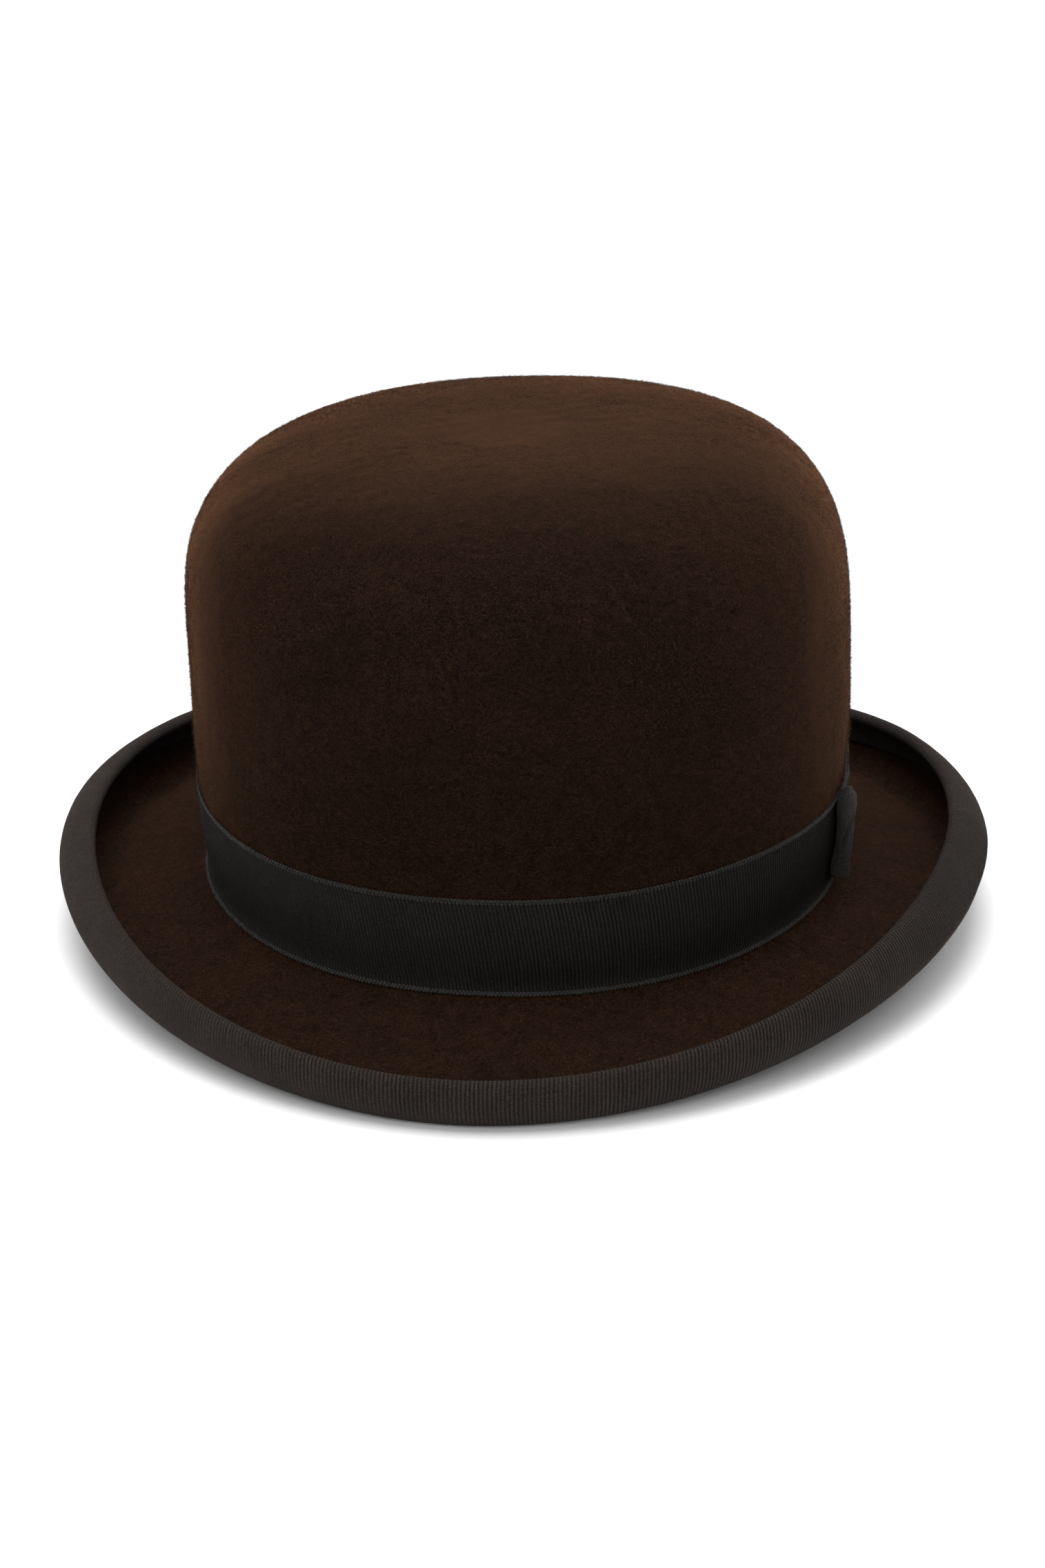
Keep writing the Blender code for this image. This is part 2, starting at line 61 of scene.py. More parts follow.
CROWN_FULLNESS = (0.0038, 0.0028)  # how much fuller the worn crown is, even and to +X
MEAN_RADIUS = (CROWN_HALF_WIDTH + CROWN_HALF_LENGTH) / 2
BREAK_HEIGHTS = (0.0183, 0.0226, 0.0180)    # front, side and back, as for the curl
BREAK_RADIUS = 0.0070              # of the turn from crown to brim
BRIM_HALF_WIDTH = 0.1306
BRIM_HALF_LENGTH = 0.1572
BRIM_PLAN_POWER = 1.91
CURL_RADII = (0.01145, 0.0117, 0.01145)
CURL_HEIGHTS = (0.0100, 0.0200, 0.0100)
CURL_ENDS = (13.8, 77.6, 13.8)     # degrees past upright at the edge
CURL_HEIGHT_POWER = 2.0
CURL_END_POWER = 3.0
CAD_RIBBON = 0.0006                # the space a ribbon has in the CAD frame
FELT_COLUMNS = 500
HAIR_ROOT = 0.00008                # how deep the hairs are rooted
CROWN_WALK = (0.01, 0.99)          # parts of the walk over the face, as in on_face
BRIM_WALK = (1.75, 3.55)
BINDING_START = 3.9                # past this the felt lies close inside the binding

RIBBON = 0.00040                   # grosgrain, without its ribs
RIB = 0.00010                      # half the depth of a rib
BINDING_RIB_PITCH = 0.00109
BAND_RIB_PITCH = 0.00102
BINDING_OUTSIDE = 0.0138           # width on the outer face of the rolled edge
BINDING_INSIDE = 0.0080            # width on its inner face
BINDING_GAP = 0.00030              # from the felt to its back face
COLUMNS_PER_RIB = 4
BAND_BELOW_BREAK = 0.0057
BAND_ABOVE_BREAK = 0.0238
BAND_TILT = 0.0007                 # the band sits a little higher on the bow side
BAND_SKEW = (0.06, 0.20)           # lean of the band's ribs, as a slope, low and high
BAND_OUT = 0.00014                 # the band's back face over the felt
BAND_FACE = RIBBON + RIB + 0.00006    # where the bow's back layer starts
BEAD_HALF = 0.00042                # half the length of a bead on the band's edges
BEAD_BELLY = 0.00020               # half the length of its thickest part
BEAD_RADII = (0.00032, 0.00019)    # along the felt and off it
BEAD_INSET = 0.00012               # of the outer row from the band's edge
BEAD_ROW_GAP = 0.00068

BOW_CENTRE = radians(3.0)          # round from the left side to the knot
BOW_FRONT_HALF = 0.0358            # from the knot to the fold towards the front
BOW_BACK_HALF = 0.0330
BOW_LOW = -0.0048                  # its lower and upper edge, from the break
BOW_HIGH = 0.0210
BOW_FRONT_LOW = -0.0050            # the ribbon spreads towards its front fold
BOW_FRONT_HIGH = 0.0262
BOW_RIBBON = 0.00028
BOW_LEAN = 0.176                   # how far the bow's ends lean back, as a slope
KNOT_HALF = 0.0052
KNOT_ROUND = 0.042                 # length of its ribbon, once round the bow
# Up the front fold: height share, radius of the fold, gap behind it.
FOLD_ROWS = (0.00, 0.04, 0.15, 0.35, 0.60, 0.83, 0.93, 1.00)
FOLD_RADII = (0.00060, 0.00150, 0.00255, 0.00190, 0.00225, 0.00265, 0.00195, 0.00050)
FOLD_GAPS = (0.0020, 0.0017, 0.0013, 0.0023, 0.0015, 0.0009, 0.0018, 0.0032)

LEATHER = 0.0012
SWEATBAND_LOW = -0.0040            # its lower and upper edge, from the break
SWEATBAND_HIGH = 0.0510
SWEATBAND_DEPTH = FELT + 0.0020    # middle of the leather, from the outer surface
SWEATBAND_FACE = SWEATBAND_DEPTH + LEATHER / 2
REED_RADIUS = 0.0008
TAPE = 0.0005
TAPE_HALF_GAP = 0.0011             # half the space inside the folded tape
TAPE_HIGH = 0.0010
SATIN = 0.0004
LINING_LOW = 0.0030
LINING_END = 40 / 90               # where its upper edge is, as a share of the dome
LINING_SAG = 0.0040
PIPING_RADIUS = 0.0008
PIPING_LEAN = radians(41)
TIP_RISE = 0.0050
TIP_INSET = 0.0012
INNER_BOW_HALF = 0.0110
INNER_BOW_RISE = 0.0068
INNER_BOW_RIB_PITCH = 0.0008

TURN = 2 * pi
RNG_SEED = 11


# ------------------------------------------------------------- felt section
def plan_point(angle, half_width, half_length, power):
    """Points of a squared oval."""
    c, s = np.cos(angle), np.sin(angle)
    x = half_width * np.abs(c) ** (2 / power) * np.sign(c)
    y = half_length * np.abs(s) ** (2 / power) * np.sign(s)
    return np.stack([x, y, np.zeros_like(x)], -1)


def around(angle, values, power=2.0):
    """Blend a front, side and back value round the hat."""
    front, side, back = values
    share = np.abs(np.cos(angle)) ** power
    end = np.where(np.sin(angle) < 0, front, back)
    return side * share + end * (1 - share)


def leaned(points):
    """The slight tilt and lean of the crown, growing towards its top."""
    share = (np.maximum(points[..., 2], 0.0) / CROWN_HEIGHT) ** 3
    x = points[..., 0] + CROWN_LEAN * share
    z = points[..., 2] + CROWN_TILT * points[..., 0] * share
    return np.stack([x, points[..., 1], z], -1)


class Section:
    """Sections of the felt at some angles, by the middle of its thickness.

    Depth runs from the outer and upper surface (0) to the inner one (FELT).
    """

    def __init__(self, angle):
        angle = np.asarray(angle, float)
        self.angle = angle
        half = FELT / 2
        bulge = plan_point(angle, CROWN_HALF_WIDTH - half, CROWN_HALF_LENGTH - half,
                           CROWN_PLAN_POWER)
        rim = plan_point(angle, BRIM_HALF_WIDTH, BRIM_HALF_LENGTH, BRIM_PLAN_POWER)
        self.radius = np.linalg.norm(bulge, axis=-1)
        self.radial = bulge / self.radius[..., None]
        self.base = bulge * BASE_RATIO
        width = np.linalg.norm(rim - self.base, axis=-1)
        self.outward = (rim - self.base) / width[..., None]
        self.break_height = around(angle, BREAK_HEIGHTS)
        self.wall_rise = BULGE_HEIGHT - self.break_height
        self.lean = np.arctan(self.radius * (1 - BASE_RATIO) * WALL_POWER / self.wall_rise)
        self.turn_x = BREAK_RADIUS * np.cos(self.lean)
        self.turn_z = self.break_height - BREAK_RADIUS * np.sin(self.lean)
        curl_outside = around(angle, CURL_RADII)
        self.curl_radius = curl_outside - (half + GAP + CAD_RIBBON)
        self.curl_x = width - curl_outside
        self.curl_z = around(angle, CURL_HEIGHTS, CURL_HEIGHT_POWER)
        run = self.curl_x - self.turn_x
        drop = self.curl_z - self.turn_z
        self.slope = np.arctan2(drop, run) - np.arcsin(
            (self.curl_radius - BREAK_RADIUS) / np.hypot(run, drop))
        self.turn_start = pi - self.lean
        self.curl_start = 1.5 * pi + self.slope
        self.curl_finish = TURN + np.radians(around(angle, CURL_ENDS, CURL_END_POWER))

    def placed(self, across, height, facing, depth):
        shift = depth - FELT / 2
        x = across + shift * np.cos(facing)
        z = height + shift * np.sin(facing)
        points = self.base + self.outward * x[..., None]
        points = np.concatenate([points[..., :2], z[..., None]], -1)
        return leaned(points)

    def on_turn(self, facing, depth):
        return self.placed(self.turn_x + BREAK_RADIUS * np.cos(facing),
                           self.turn_z + BREAK_RADIUS * np.sin(facing), facing, depth)

    def on_brim(self, share, depth):
        facing = self.curl_start
        x0 = self.turn_x + BREAK_RADIUS * np.cos(facing)
        z0 = self.turn_z + BREAK_RADIUS * np.sin(facing)
        x1 = self.curl_x + self.curl_radius * np.cos(facing)
        z1 = self.curl_z + self.curl_radius * np.sin(facing)
        return self.placed(x0 + (x1 - x0) * share, z0 + (z1 - z0) * share, facing, depth)

    def on_curl(self, facing, depth):
        return self.placed(self.curl_x + self.curl_radius * np.cos(facing),
                           self.curl_z + self.curl_radius * np.sin(facing), facing, depth)

    def round_edge(self, turn, reach):
        """Round the felt's edge: turn 0 faces under, a half turn faces up."""
        facing = self.curl_finish
        x = self.curl_x + self.curl_radius * np.cos(facing) + reach * np.cos(facing + turn)
        z = self.curl_z + self.curl_radius * np.sin(facing) + reach * np.sin(facing + turn)
        return self.placed(x, z, facing, FELT / 2)

    def crown_line(self, share):
        """Radius and height of the crown: share -1 is the break, 0 the bulge, 1 the top."""
        wall = 1 - (1 - BASE_RATIO) * np.maximum(-share, 0.0) ** WALL_POWER
        up = np.clip(share, 0.0, 1.0) * pi / 2
        dome = np.maximum(np.cos(up), 0.0) ** (2 / DOME_POWER_R)
        lift = np.sin(up) ** (2 / DOME_POWER_Z)
        rise = CROWN_HEIGHT - FELT / 2 - BULGE_HEIGHT
        rise_in = np.clip((share + 0.72) / 0.36, 0.0, 1.0)
        even, to_side = CROWN_FULLNESS
        full = 1 + (even + to_side * np.cos(self.angle)) * rise_in ** 2 * (3 - 2 * rise_in)
        full = full + CROWN_SHOULDER * np.sin(2 * up) ** 2 * (1 - np.cos(self.angle)) / 2
        radius = self.radius * np.where(share <= 0, wall, dome) * full
        height = BULGE_HEIGHT + np.where(share <= 0, self.wall_rise * share, rise * lift)
        return radius, height

    def on_crown(self, share, depth):
        step = 0.002
        r0, z0 = self.crown_line(share - step)
        r1, z1 = self.crown_line(np.minimum(share + step, 1.0))
        length = np.hypot(r1 - r0, z1 - z0)
        radius, height = self.crown_line(share)
        shift = depth - FELT / 2
        radius = radius - shift * (z1 - z0) / length
        height = height + shift * (r1 - r0) / length
        flat = self.radial * radius[..., None]
        return leaned(np.concatenate([flat[..., :2], height[..., None]], -1))

    def on_wall(self, rise, depth):
        return self.on_crown(rise / self.wall_rise - 1, depth)

    def on_band(self, rise, depth):
        """As on_wall, but below the break it follows the turn of the felt."""
        rise = rise + BAND_TILT * np.cos(self.angle)
        wall = self.on_wall(np.maximum(rise, 0.0), depth)
        turn = self.on_turn(self.turn_start - np.minimum(rise, 0.0) / BREAK_RADIUS, depth)
        return np.where((rise >= 0)[..., None], wall, turn)

    def on_face(self, walk, depth):
        """One walk over a whole face: 0 to 1 crown, 2 turn, 3 brim, 4 curl."""
        crown = self.on_crown(1 - 2 * np.clip(walk, 0.0, 1.0), depth)
        share = np.clip(walk - 1, 0.0, 1.0)
        turn = self.on_turn(self.turn_start + (self.curl_start - self.turn_start) * share,
                            depth)
        brim = self.on_brim(np.clip(walk - 2, 0.0, 1.0), depth)
        share = np.clip(walk - 3, 0.0, 1.0)
        curl = self.on_curl(self.curl_start + (self.curl_finish - self.curl_start) * share,
                            depth)
        w = np.asarray(walk)[..., None]
        return np.where(w <= 1, crown, np.where(w <= 2, turn, np.where(w <= 3, brim, curl)))


# ------------------------------------------------------------- mesh helpers
def ring_angles(count):
    """Even angles round a full turn."""
    return np.arange(count) * TURN / count


def unit(vectors):
    return vectors / np.linalg.norm(vectors, axis=-1, keepdims=True)


def grid_uv(along, up):
    """Texture places of a grid of points, in metres: along for columns, up for rows."""
    return np.stack(np.meshgrid(along, up), -1)


def grid_faces(rows, columns, wrap_rows, wrap_columns):
    """Quads of a grid of points, as indices."""
    i = np.arange(rows if wrap_rows else rows - 1)
    j = np.arange(columns if wrap_columns else columns - 1)
    i, j = np.meshgrid(i, j, indexing="ij")
    i2 = (i + 1) % rows
    j2 = (j + 1) % columns
    quads = np.stack([i * columns + j, i * columns + j2, i2 * columns + j2,
                      i2 * columns + j], -1)
    return quads.reshape(-1, 4)


def mesh_object(name, points, faces, material, uv=None):
    """An object from points and groups of faces; uv is one pair per point, in metres."""
    mesh = bpy.data.meshes.new(name)
    points = points.reshape(-1, 3)
    loops = np.concatenate([group.ravel() for group in faces])
    sizes = np.concatenate([np.full(len(group), group.shape[1]) for group in faces])
    starts = np.concatenate([[0], np.cumsum(sizes)[:-1]])
    mesh.vertices.add(len(points))
    mesh.vertices.foreach_set("co", points.astype(np.float32).ravel())
    mesh.loops.add(len(loops))
    mesh.loops.foreach_set("vertex_index", loops.astype(np.int32))
    mesh.polygons.add(len(sizes))
    mesh.polygons.foreach_set("loop_start", starts.astype(np.int32))
    mesh.update(calc_edges=True)
    if uv is not None:
        layer = mesh.uv_layers.new(name="metres")
        layer.data.foreach_set("uv", uv.reshape(-1, 2)[loops].astype(np.float32).ravel())
    mesh.shade_smooth()
    mesh.materials.append(material)
    piece = bpy.data.objects.new(name, mesh)
    bpy.context.scene.collection.objects.link(piece)
    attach(piece, "root")
    return piece


def outward_faces(points, faces):
    """The faces, turned over if the closed body they make has its inside out."""
    volume = 0.0
    for group in faces:
        a, b = points[group[:, 0]], points[group[:, 1]]
        for k in range(2, group.shape[1]):
            c = points[group[:, k]]
            volume += np.einsum("ij,ij->i", a, np.cross(b, c)).sum()
            b = c
    if volume < 0:
        return [group[:, ::-1] for group in faces]
    return faces


def repeat_body(name, points, faces, material):
    """Many small closed bodies as one object: points by body, and the faces of one."""
    count, size = points.shape[:2]
    faces = outward_faces(points[0] - points[0].mean(0), faces)
    first = np.arange(count)[:, None, None] * size
    faces = [(group + first).reshape(-1, group.shape[1]) for group in faces]
    return mesh_object(name, points, faces, material)


def loop_solid(name, rings, material, closed, uv):
    """Rings of points joined into a closed body: closed section, or a cap at each end."""
    rows, columns = rings.shape[:2]
    points = rings.reshape(-1, 3)
    faces = [grid_faces(rows, columns, closed, True)]
    if not closed:
        points = np.concatenate([points, [rings[0].mean(0), rings[-1].mean(0)]])
        j = np.arange(columns)
        after = (j + 1) % columns
        last = (rows - 1) * columns
        middle = np.full(columns, rows * columns)
        faces += [np.stack([after, j, middle], -1),
                  np.stack([last + j, last + after, middle + 1], -1)]
        uv = np.concatenate([uv.reshape(-1, 2), [uv[0].mean(0), uv[-1].mean(0)]])
    return mesh_object(name, points, outward_faces(points, faces), material, uv)


def strip_solid(name, faces, material, along, up, wrap=True):
    """A strip between a front and a back face, each a grid of rows by columns."""
    front, back = faces
    rings = np.concatenate([front, back[::-1]])
    uv = grid_uv(along, np.concatenate([up, up[::-1]]))
    if wrap:
        return loop_solid(name, rings, material, True, uv)
    rows, columns = rings.shape[:2]
    points = rings.reshape(-1, 3)
    faces = [grid_faces(rows, columns, True, False)]
    i = np.arange(rows // 2 - 1)
    for column, way in ((0, -1), (columns - 1, 1)):
        quads = np.stack([i, i + 1, rows - 2 - i, rows - 1 - i], -1) * columns + column
        faces.append(quads[:, ::way])
    return mesh_object(name, points, outward_faces(points, faces), material, uv)


def tube_object(name, paths, radius, sides, closed, material):
    """Round tubes along paths, an array of path by step by xyz."""
    count, steps = paths.shape[:2]
    if closed:
        along = np.roll(paths, -1, 1) - np.roll(paths, 1, 1)
    else:
        along = np.gradient(paths, axis=1)
    along = unit(along)
    up = np.zeros_like(along)
    up[..., 2] = 1.0
    up[np.abs(along[..., 2]) > 0.9] = (1.0, 0.0, 0.0)
    side = unit(np.cross(along, up))
    other = np.cross(along, side)
    turn = ring_angles(sides)[:, None]
    ring = side[..., None, :] * np.cos(turn) + other[..., None, :] * np.sin(turn)
    points = (paths[..., None, :] + ring * radius).reshape(count, -1, 3)
    faces = [grid_faces(steps, sides, closed, True)]
    if not closed:
        cap = np.arange(sides)[None]
        faces += [cap, cap[:, ::-1] + (steps - 1) * sides]
    return repeat_body(name, points, faces, material)


def smooth_noise(points, scale, seed, waves=14):
    """A smooth field of about unit size that varies over the scale, in metres."""
    rng = np.random.default_rng(seed)
    total = np.zeros(points.shape[:-1])
    for _ in range(waves):
        way = rng.normal(size=3)
        way *= rng.uniform(0.6, 1.4) * TURN / scale / np.linalg.norm(way)
        total += np.sin(points @ way + rng.uniform(0, TURN))
    return total / waves ** 0.5


# ----------------------------------------------------------------- materials
def times(colour, factor):
    return tuple(factor * part for part in colour)


class Nodes:
    """A short way to write a material's node tree."""

    def __init__(self, name):
        self.material = bpy.data.materials.new(name)
        self.material.use_nodes = True
        self.tree = self.material.node_tree
        self.shader = self.tree.nodes["Principled BSDF"]

    def add(self, kind, **settings):
        node = self.tree.nodes.new(kind)
        for key, value in settings.items():
            if hasattr(node, key):
                setattr(node, key, value)
            else:
                node.inputs[key.replace("_", " ")].default_value = value
        return node

    def link(self, source, target):
        self.tree.links.new(source, target)

    def set(self, **values):
        """Constant values on the shader's own sockets."""
        for key, value in values.items():
            self.shader.inputs[key.replace("_", " ")].default_value = value

    def feed(self, **sources):
        """Patterns linked to the shader's sockets."""
        for key, source in sources.items():
            self.link(source, self.shader.inputs[key.replace("_", " ")])

    def place(self):
        return self.add("ShaderNodeTexCoord").outputs["Object"]

    def metres(self):
        return self.add("ShaderNodeUVMap", uv_map="metres").outputs["UV"]

    def parts(self, vector):
        node = self.add("ShaderNodeSeparateXYZ")
        self.link(vector, node.inputs[0])
        return node.outputs

    def noise(self, vector, scale, detail=3.0, roughness=0.55, distortion=0.0):
        node = self.add("ShaderNodeTexNoise", Scale=scale, Detail=detail, Roughness=roughness,
                        Distortion=distortion)
        self.link(vector, node.inputs["Vector"])
        return node.outputs["Fac"]

    def stretch(self, vector, scale, turn=(0, 0, 0)):
        node = self.add("ShaderNodeMapping", Scale=scale, Rotation=turn)
        self.link(vector, node.inputs["Vector"])
        return node.outputs["Vector"]

    def math(self, operation, a, b=None):
        node = self.add("ShaderNodeMath", operation=operation)
        for socket, value in zip(node.inputs, (a, b)):
            if isinstance(value, (int, float)):
                socket.default_value = value
            elif value is not None:
                self.link(value, socket)
        return node.outputs[0]

    def weighted(self, *terms):
        """The sum of some patterns, each with its weight."""
        total = None
        for pattern, weight in terms:
            part = self.math("MULTIPLY", pattern, weight)
            total = part if total is None else self.math("ADD", total, part)
        return total

    def ramp(self, fac, *stops):
        """A colour ramp; a stop is a place and a colour, or a number for a grey."""
        node = self.add("ShaderNodeValToRGB")
        while len(node.color_ramp.elements) < len(stops):
            node.color_ramp.elements.new(0.5)
        for element, (position, colour) in zip(node.color_ramp.elements, stops):
            element.position = position
            element.color = (*colour, 1.0) if isinstance(colour, tuple) else (*[colour] * 3, 1.0)
        self.link(fac, node.inputs["Fac"])
        return node.outputs["Color"]

    def multiply(self, a, b, fac=1.0):
        node = self.add("ShaderNodeMix", data_type="RGBA", blend_type="MULTIPLY")
        node.inputs[0].default_value = fac
        self.link(a, node.inputs[6])
        self.link(b, node.inputs[7])
        return node.outputs[2]

    def spread(self, fac, low, high, start=0.0, end=1.0):
        node = self.add("ShaderNodeMapRange", From_Min=start, From_Max=end, To_Min=low,
                        To_Max=high)
        self.link(fac, node.inputs["Value"])
        return node.outputs["Result"]

    def bump(self, height, distance, strength=1.0, normal=None):
        node = self.add("ShaderNodeBump", Strength=strength, Distance=distance)
        self.link(height, node.inputs["Height"])
        if normal is not None:
            self.link(normal, node.inputs["Normal"])
        return node.outputs["Normal"]


def felt_material():
    """Brown fur felt: a web of short fibres, a soft lifted nap and faint cloudy tone, with
    painted fill light on the brim and painted shade in the sheen low down.
    """
    m = Nodes("brown_fur_felt")
    place = m.place()
    cloud = m.noise(place, 38.0, 3.0)
    patch = m.noise(place, 260.0, 3.0, 0.6, 0.8)
    fuzz = m.noise(place, 1700.0, 2.0, 0.7, 1.0)
    web = None
    for scale, turn in ((520.0, (0.3, 0.1, 0.2)), (760.0, (0.9, 0.5, 0.1)),
                        (1100.0, (0.2, 1.1, 0.7))):
        field = m.noise(m.stretch(place, (1.0, 1.0, 1.25), turn), scale, 2.0, 0.6, 1.8)
        line = m.math("ABSOLUTE", m.math("SUBTRACT", field, 0.5))
        line = m.ramp(line, (0.0, 1.0), (0.035, 0.45), (0.11, 0.0))
        web = line if web is None else m.math("ADD", web, line)
    shade = m.weighted((web, 0.22), (fuzz, 0.55))
    base = m.ramp(shade, (0.26, (0.0034, 0.0016, 0.0010)), (0.50, (0.0094, 0.0048, 0.0030)),
                  (0.90, (0.0290, 0.0150, 0.0092)))
    # The base colour is lightened up to 1.45 times low down, so the brim is lighter than the
    # crown: painted fill light for the brim, which lies in shade under the crown and the rolled
    # edge.
    height = m.spread(m.parts(place)[2], 0.0, 1.0, 0.025, 0.100)
    for tint in (m.ramp(height, (0.0, (1.45, 1.45, 1.42)), (0.35, 1.0)),
                 m.ramp(cloud, (0.30, (0.86, 0.88, 0.92)), (0.70, (1.16, 1.10, 1.02))),
                 m.ramp(patch, (0.32, (0.80, 0.80, 0.81)), (0.70, (1.24, 1.22, 1.18)))):
        base = m.multiply(base, tint)
    # The nap only lights up where it is seen along the surface. Its sheen is cut to about a
    # third low down, darkening the brim and the foot of the crown: painted shade.
    facing = m.add("ShaderNodeLayerWeight", Blend=0.5).outputs["Facing"]
    glow = m.ramp(facing, (0.25, 0.02), (0.55, 0.075), (0.80, 0.25), (1.0, 0.42))
    sheen_shade_by_height = m.ramp(height, (0.0, 0.36), (0.5, 0.68), (1.0, 1.0))
    m.set(Sheen_Roughness=0.24, Sheen_Tint=(1.0, 0.45, 0.21, 1.0), Specular_IOR_Level=0.02)
    m.feed(Base_Color=base, Roughness=m.spread(fuzz, 0.88, 1.0),
           Sheen_Weight=m.multiply(glow, sheen_shade_by_height),
           Normal=m.bump(shade, 0.00030, 1.0, m.bump(patch, 0.00040, 0.6)))
    return m.material


def fibre_material(name, colour, sheen):
    """Single hairs of the nap."""
    m = Nodes(name)
    noise = m.noise(m.place(), 420.0, 2.0)
    m.set(Sheen_Weight=sheen, Sheen_Roughness=0.3, Sheen_Tint=(1.0, 0.5, 0.27, 1.0),
          Specular_IOR_Level=0.06)
    m.feed(Base_Color=m.ramp(noise, (0.30, times(colour, 0.45)), (0.70, times(colour, 1.4))),
           Roughness=m.spread(noise, 0.75, 0.95))
    return m.material


def grosgrain_material(name, pitch, colour, sheen=0.03):
    """Grosgrain: ribs with painted light on their tops and painted shade in the gaps between
    them, the warp crossing them, lint and a low sheen.
    """
    m = Nodes(name)
    metres = m.metres()
    place = m.place()
    along, across, _ = m.parts(metres)
    wander = m.noise(m.stretch(metres, (300.0, 260.0, 1.0)), 1.0, 2.0)
    angle = m.weighted((along, TURN / pitch), (wander, 1.1))
    rib = m.math("MULTIPLY", m.math("ADD", m.math("SINE", angle), 1.0), 0.5)
    rib = m.math("POWER", rib, 0.6)
    warp = m.math("ABSOLUTE", m.math("SINE", m.math("MULTIPLY", across, pi / 0.00026)))
    speck = m.noise(place, 2300.0, 2.0, 0.7, 0.6)
    streak = m.noise(m.stretch(metres, (980.0, 90.0, 1.0)), 1.0, 3.0, 0.6)
    cloud = m.noise(place, 70.0, 3.0)
    weave = m.weighted((speck, 1.45), (warp, 0.16))
    # The rib wave lightens the colour on the ribs' tops and darkens it in the gaps between them:
    # painted light and shade.
    shade = m.weighted((rib, 0.52), (weave, 0.80), (streak, 0.36))
    shade = m.math("SUBTRACT", shade, 0.66)
    base = m.ramp(shade, (0.16, times(colour, 0.22)), (0.52, colour), (0.88, times(colour, 2.3)))
    tint = m.ramp(cloud, (0.32, (0.88, 0.88, 0.90)), (0.68, (1.12, 1.10, 1.08)))
    m.set(Sheen_Weight=sheen, Sheen_Roughness=0.26, Sheen_Tint=(0.95, 0.82, 0.74, 1.0),
          Specular_IOR_Level=0.10)
    m.feed(Base_Color=m.multiply(base, tint), Roughness=m.spread(streak, 0.78, 0.95),
           Normal=m.bump(rib, 0.00008, 0.5, m.bump(weave, 0.00022, 1.0)))
    return m.material


def leather_material():
    """Tan sweatband leather with pores, creases and cloudy tanning."""
    m = Nodes("tan_sweatband_leather")
    place = m.place()
    pores = m.add("ShaderNodeTexVoronoi", Scale=1500.0)
    m.link(place, pores.inputs["Vector"])
    grain = m.noise(place, 900.0, 4.0, 0.6)
    cloud = m.noise(place, 45.0, 4.0)
    crease = m.noise(m.stretch(place, (1.0, 1.0, 5.0)), 90.0, 3.0, 0.6, 1.2)
    base = m.ramp(cloud, (0.28, (0.150, 0.066, 0.029)), (0.55, (0.225, 0.108, 0.050)),
                  (0.80, (0.300, 0.155, 0.078)))
    dark = m.ramp(pores.outputs["Distance"], (0.02, (0.55, 0.50, 0.46)), (0.22, 1.0))
    m.set(Specular_IOR_Level=0.45, Coat_Weight=0.08, Coat_Roughness=0.35)
    m.feed(Base_Color=m.multiply(base, dark, 0.55), Roughness=m.spread(grain, 0.36, 0.58),
           Normal=m.bump(grain, 0.00006, 0.5, m.bump(crease, 0.0004, 0.25)))
    return m.material


def satin_material(name, colour):
    """Lustrous satin with fine floats along one way and slack waves, with painted light and
    shade along the waves.
    """
    m = Nodes(name)
    place = m.place()
    floats = m.noise(m.stretch(place, (0.25, 0.25, 6.0)), 900.0, 2.0, 0.6)
    wave = m.noise(m.stretch(place, (2.0, 2.0, 0.6)), 34.0, 2.0, 0.5, 0.6)
    # The colour goes from 0.62 to 1.45 times its own along the slack waves: painted light and
    # shade on the waves.
    base = m.ramp(wave, (0.25, times(colour, 0.62)), (0.55, colour), (0.80, times(colour, 1.45)))
    thread = m.ramp(floats, (0.30, 0.85), (0.70, 1.12))
    m.set(Specular_IOR_Level=0.6, Anisotropic=0.55, Sheen_Weight=0.15, Sheen_Roughness=0.3)
    m.feed(Base_Color=m.multiply(base, thread), Roughness=m.spread(floats, 0.24, 0.42),
           Normal=m.bump(floats, 0.00004, 0.35, m.bump(wave, 0.0012, 0.35)))
    return m.material


def cloth_material(name, colour, scale):
    """A plain woven tape or thread."""
    m = Nodes(name)
    place = m.place()
    weave = m.add("ShaderNodeTexChecker", Scale=scale)
    m.link(place, weave.inputs["Vector"])
    fuzz = m.noise(place, 1600.0, 2.0)
    base = m.ramp(fuzz, (0.3, times(colour, 0.6)), (0.7, times(colour, 1.4)))
    cross = m.ramp(weave.outputs["Fac"], (0.0, 0.8), (1.0, 1.1))
    m.set(Sheen_Weight=0.2, Sheen_Roughness=0.4, Specular_IOR_Level=0.2)
    m.feed(Base_Color=m.multiply(base, cross), Roughness=m.spread(fuzz, 0.6, 0.9),
           Normal=m.bump(fuzz, 0.00006, 0.6))
    return m.material


def flecked_material(name, pattern, low, high, roughness, bump, **values):
    """A plain stuff with one noise pattern; low and high are places and colours."""
    m = Nodes(name)
    scale, detail, rough, distortion, stretched = pattern
    fleck = m.noise(m.stretch(m.place(), (1.0, 1.0, stretched)), scale, detail, rough,
                    distortion)
    m.set(**values)
    m.feed(Base_Color=m.ramp(fleck, low, high), Roughness=m.spread(fleck, *roughness),
           Normal=m.bump(fleck, *bump))
    return m.material


def sheet_material():
    """Thin clear plastic with faint smears."""
    return flecked_material("clear_plastic_sheet", (60.0, 4.0, 0.6, 1.5, 1.0),
                            (0.3, (0.90, 0.90, 0.88)), (0.7, 1.0), (0.04, 0.22),
                            (0.0006, 0.2), Transmission_Weight=0.93, IOR=1.45)


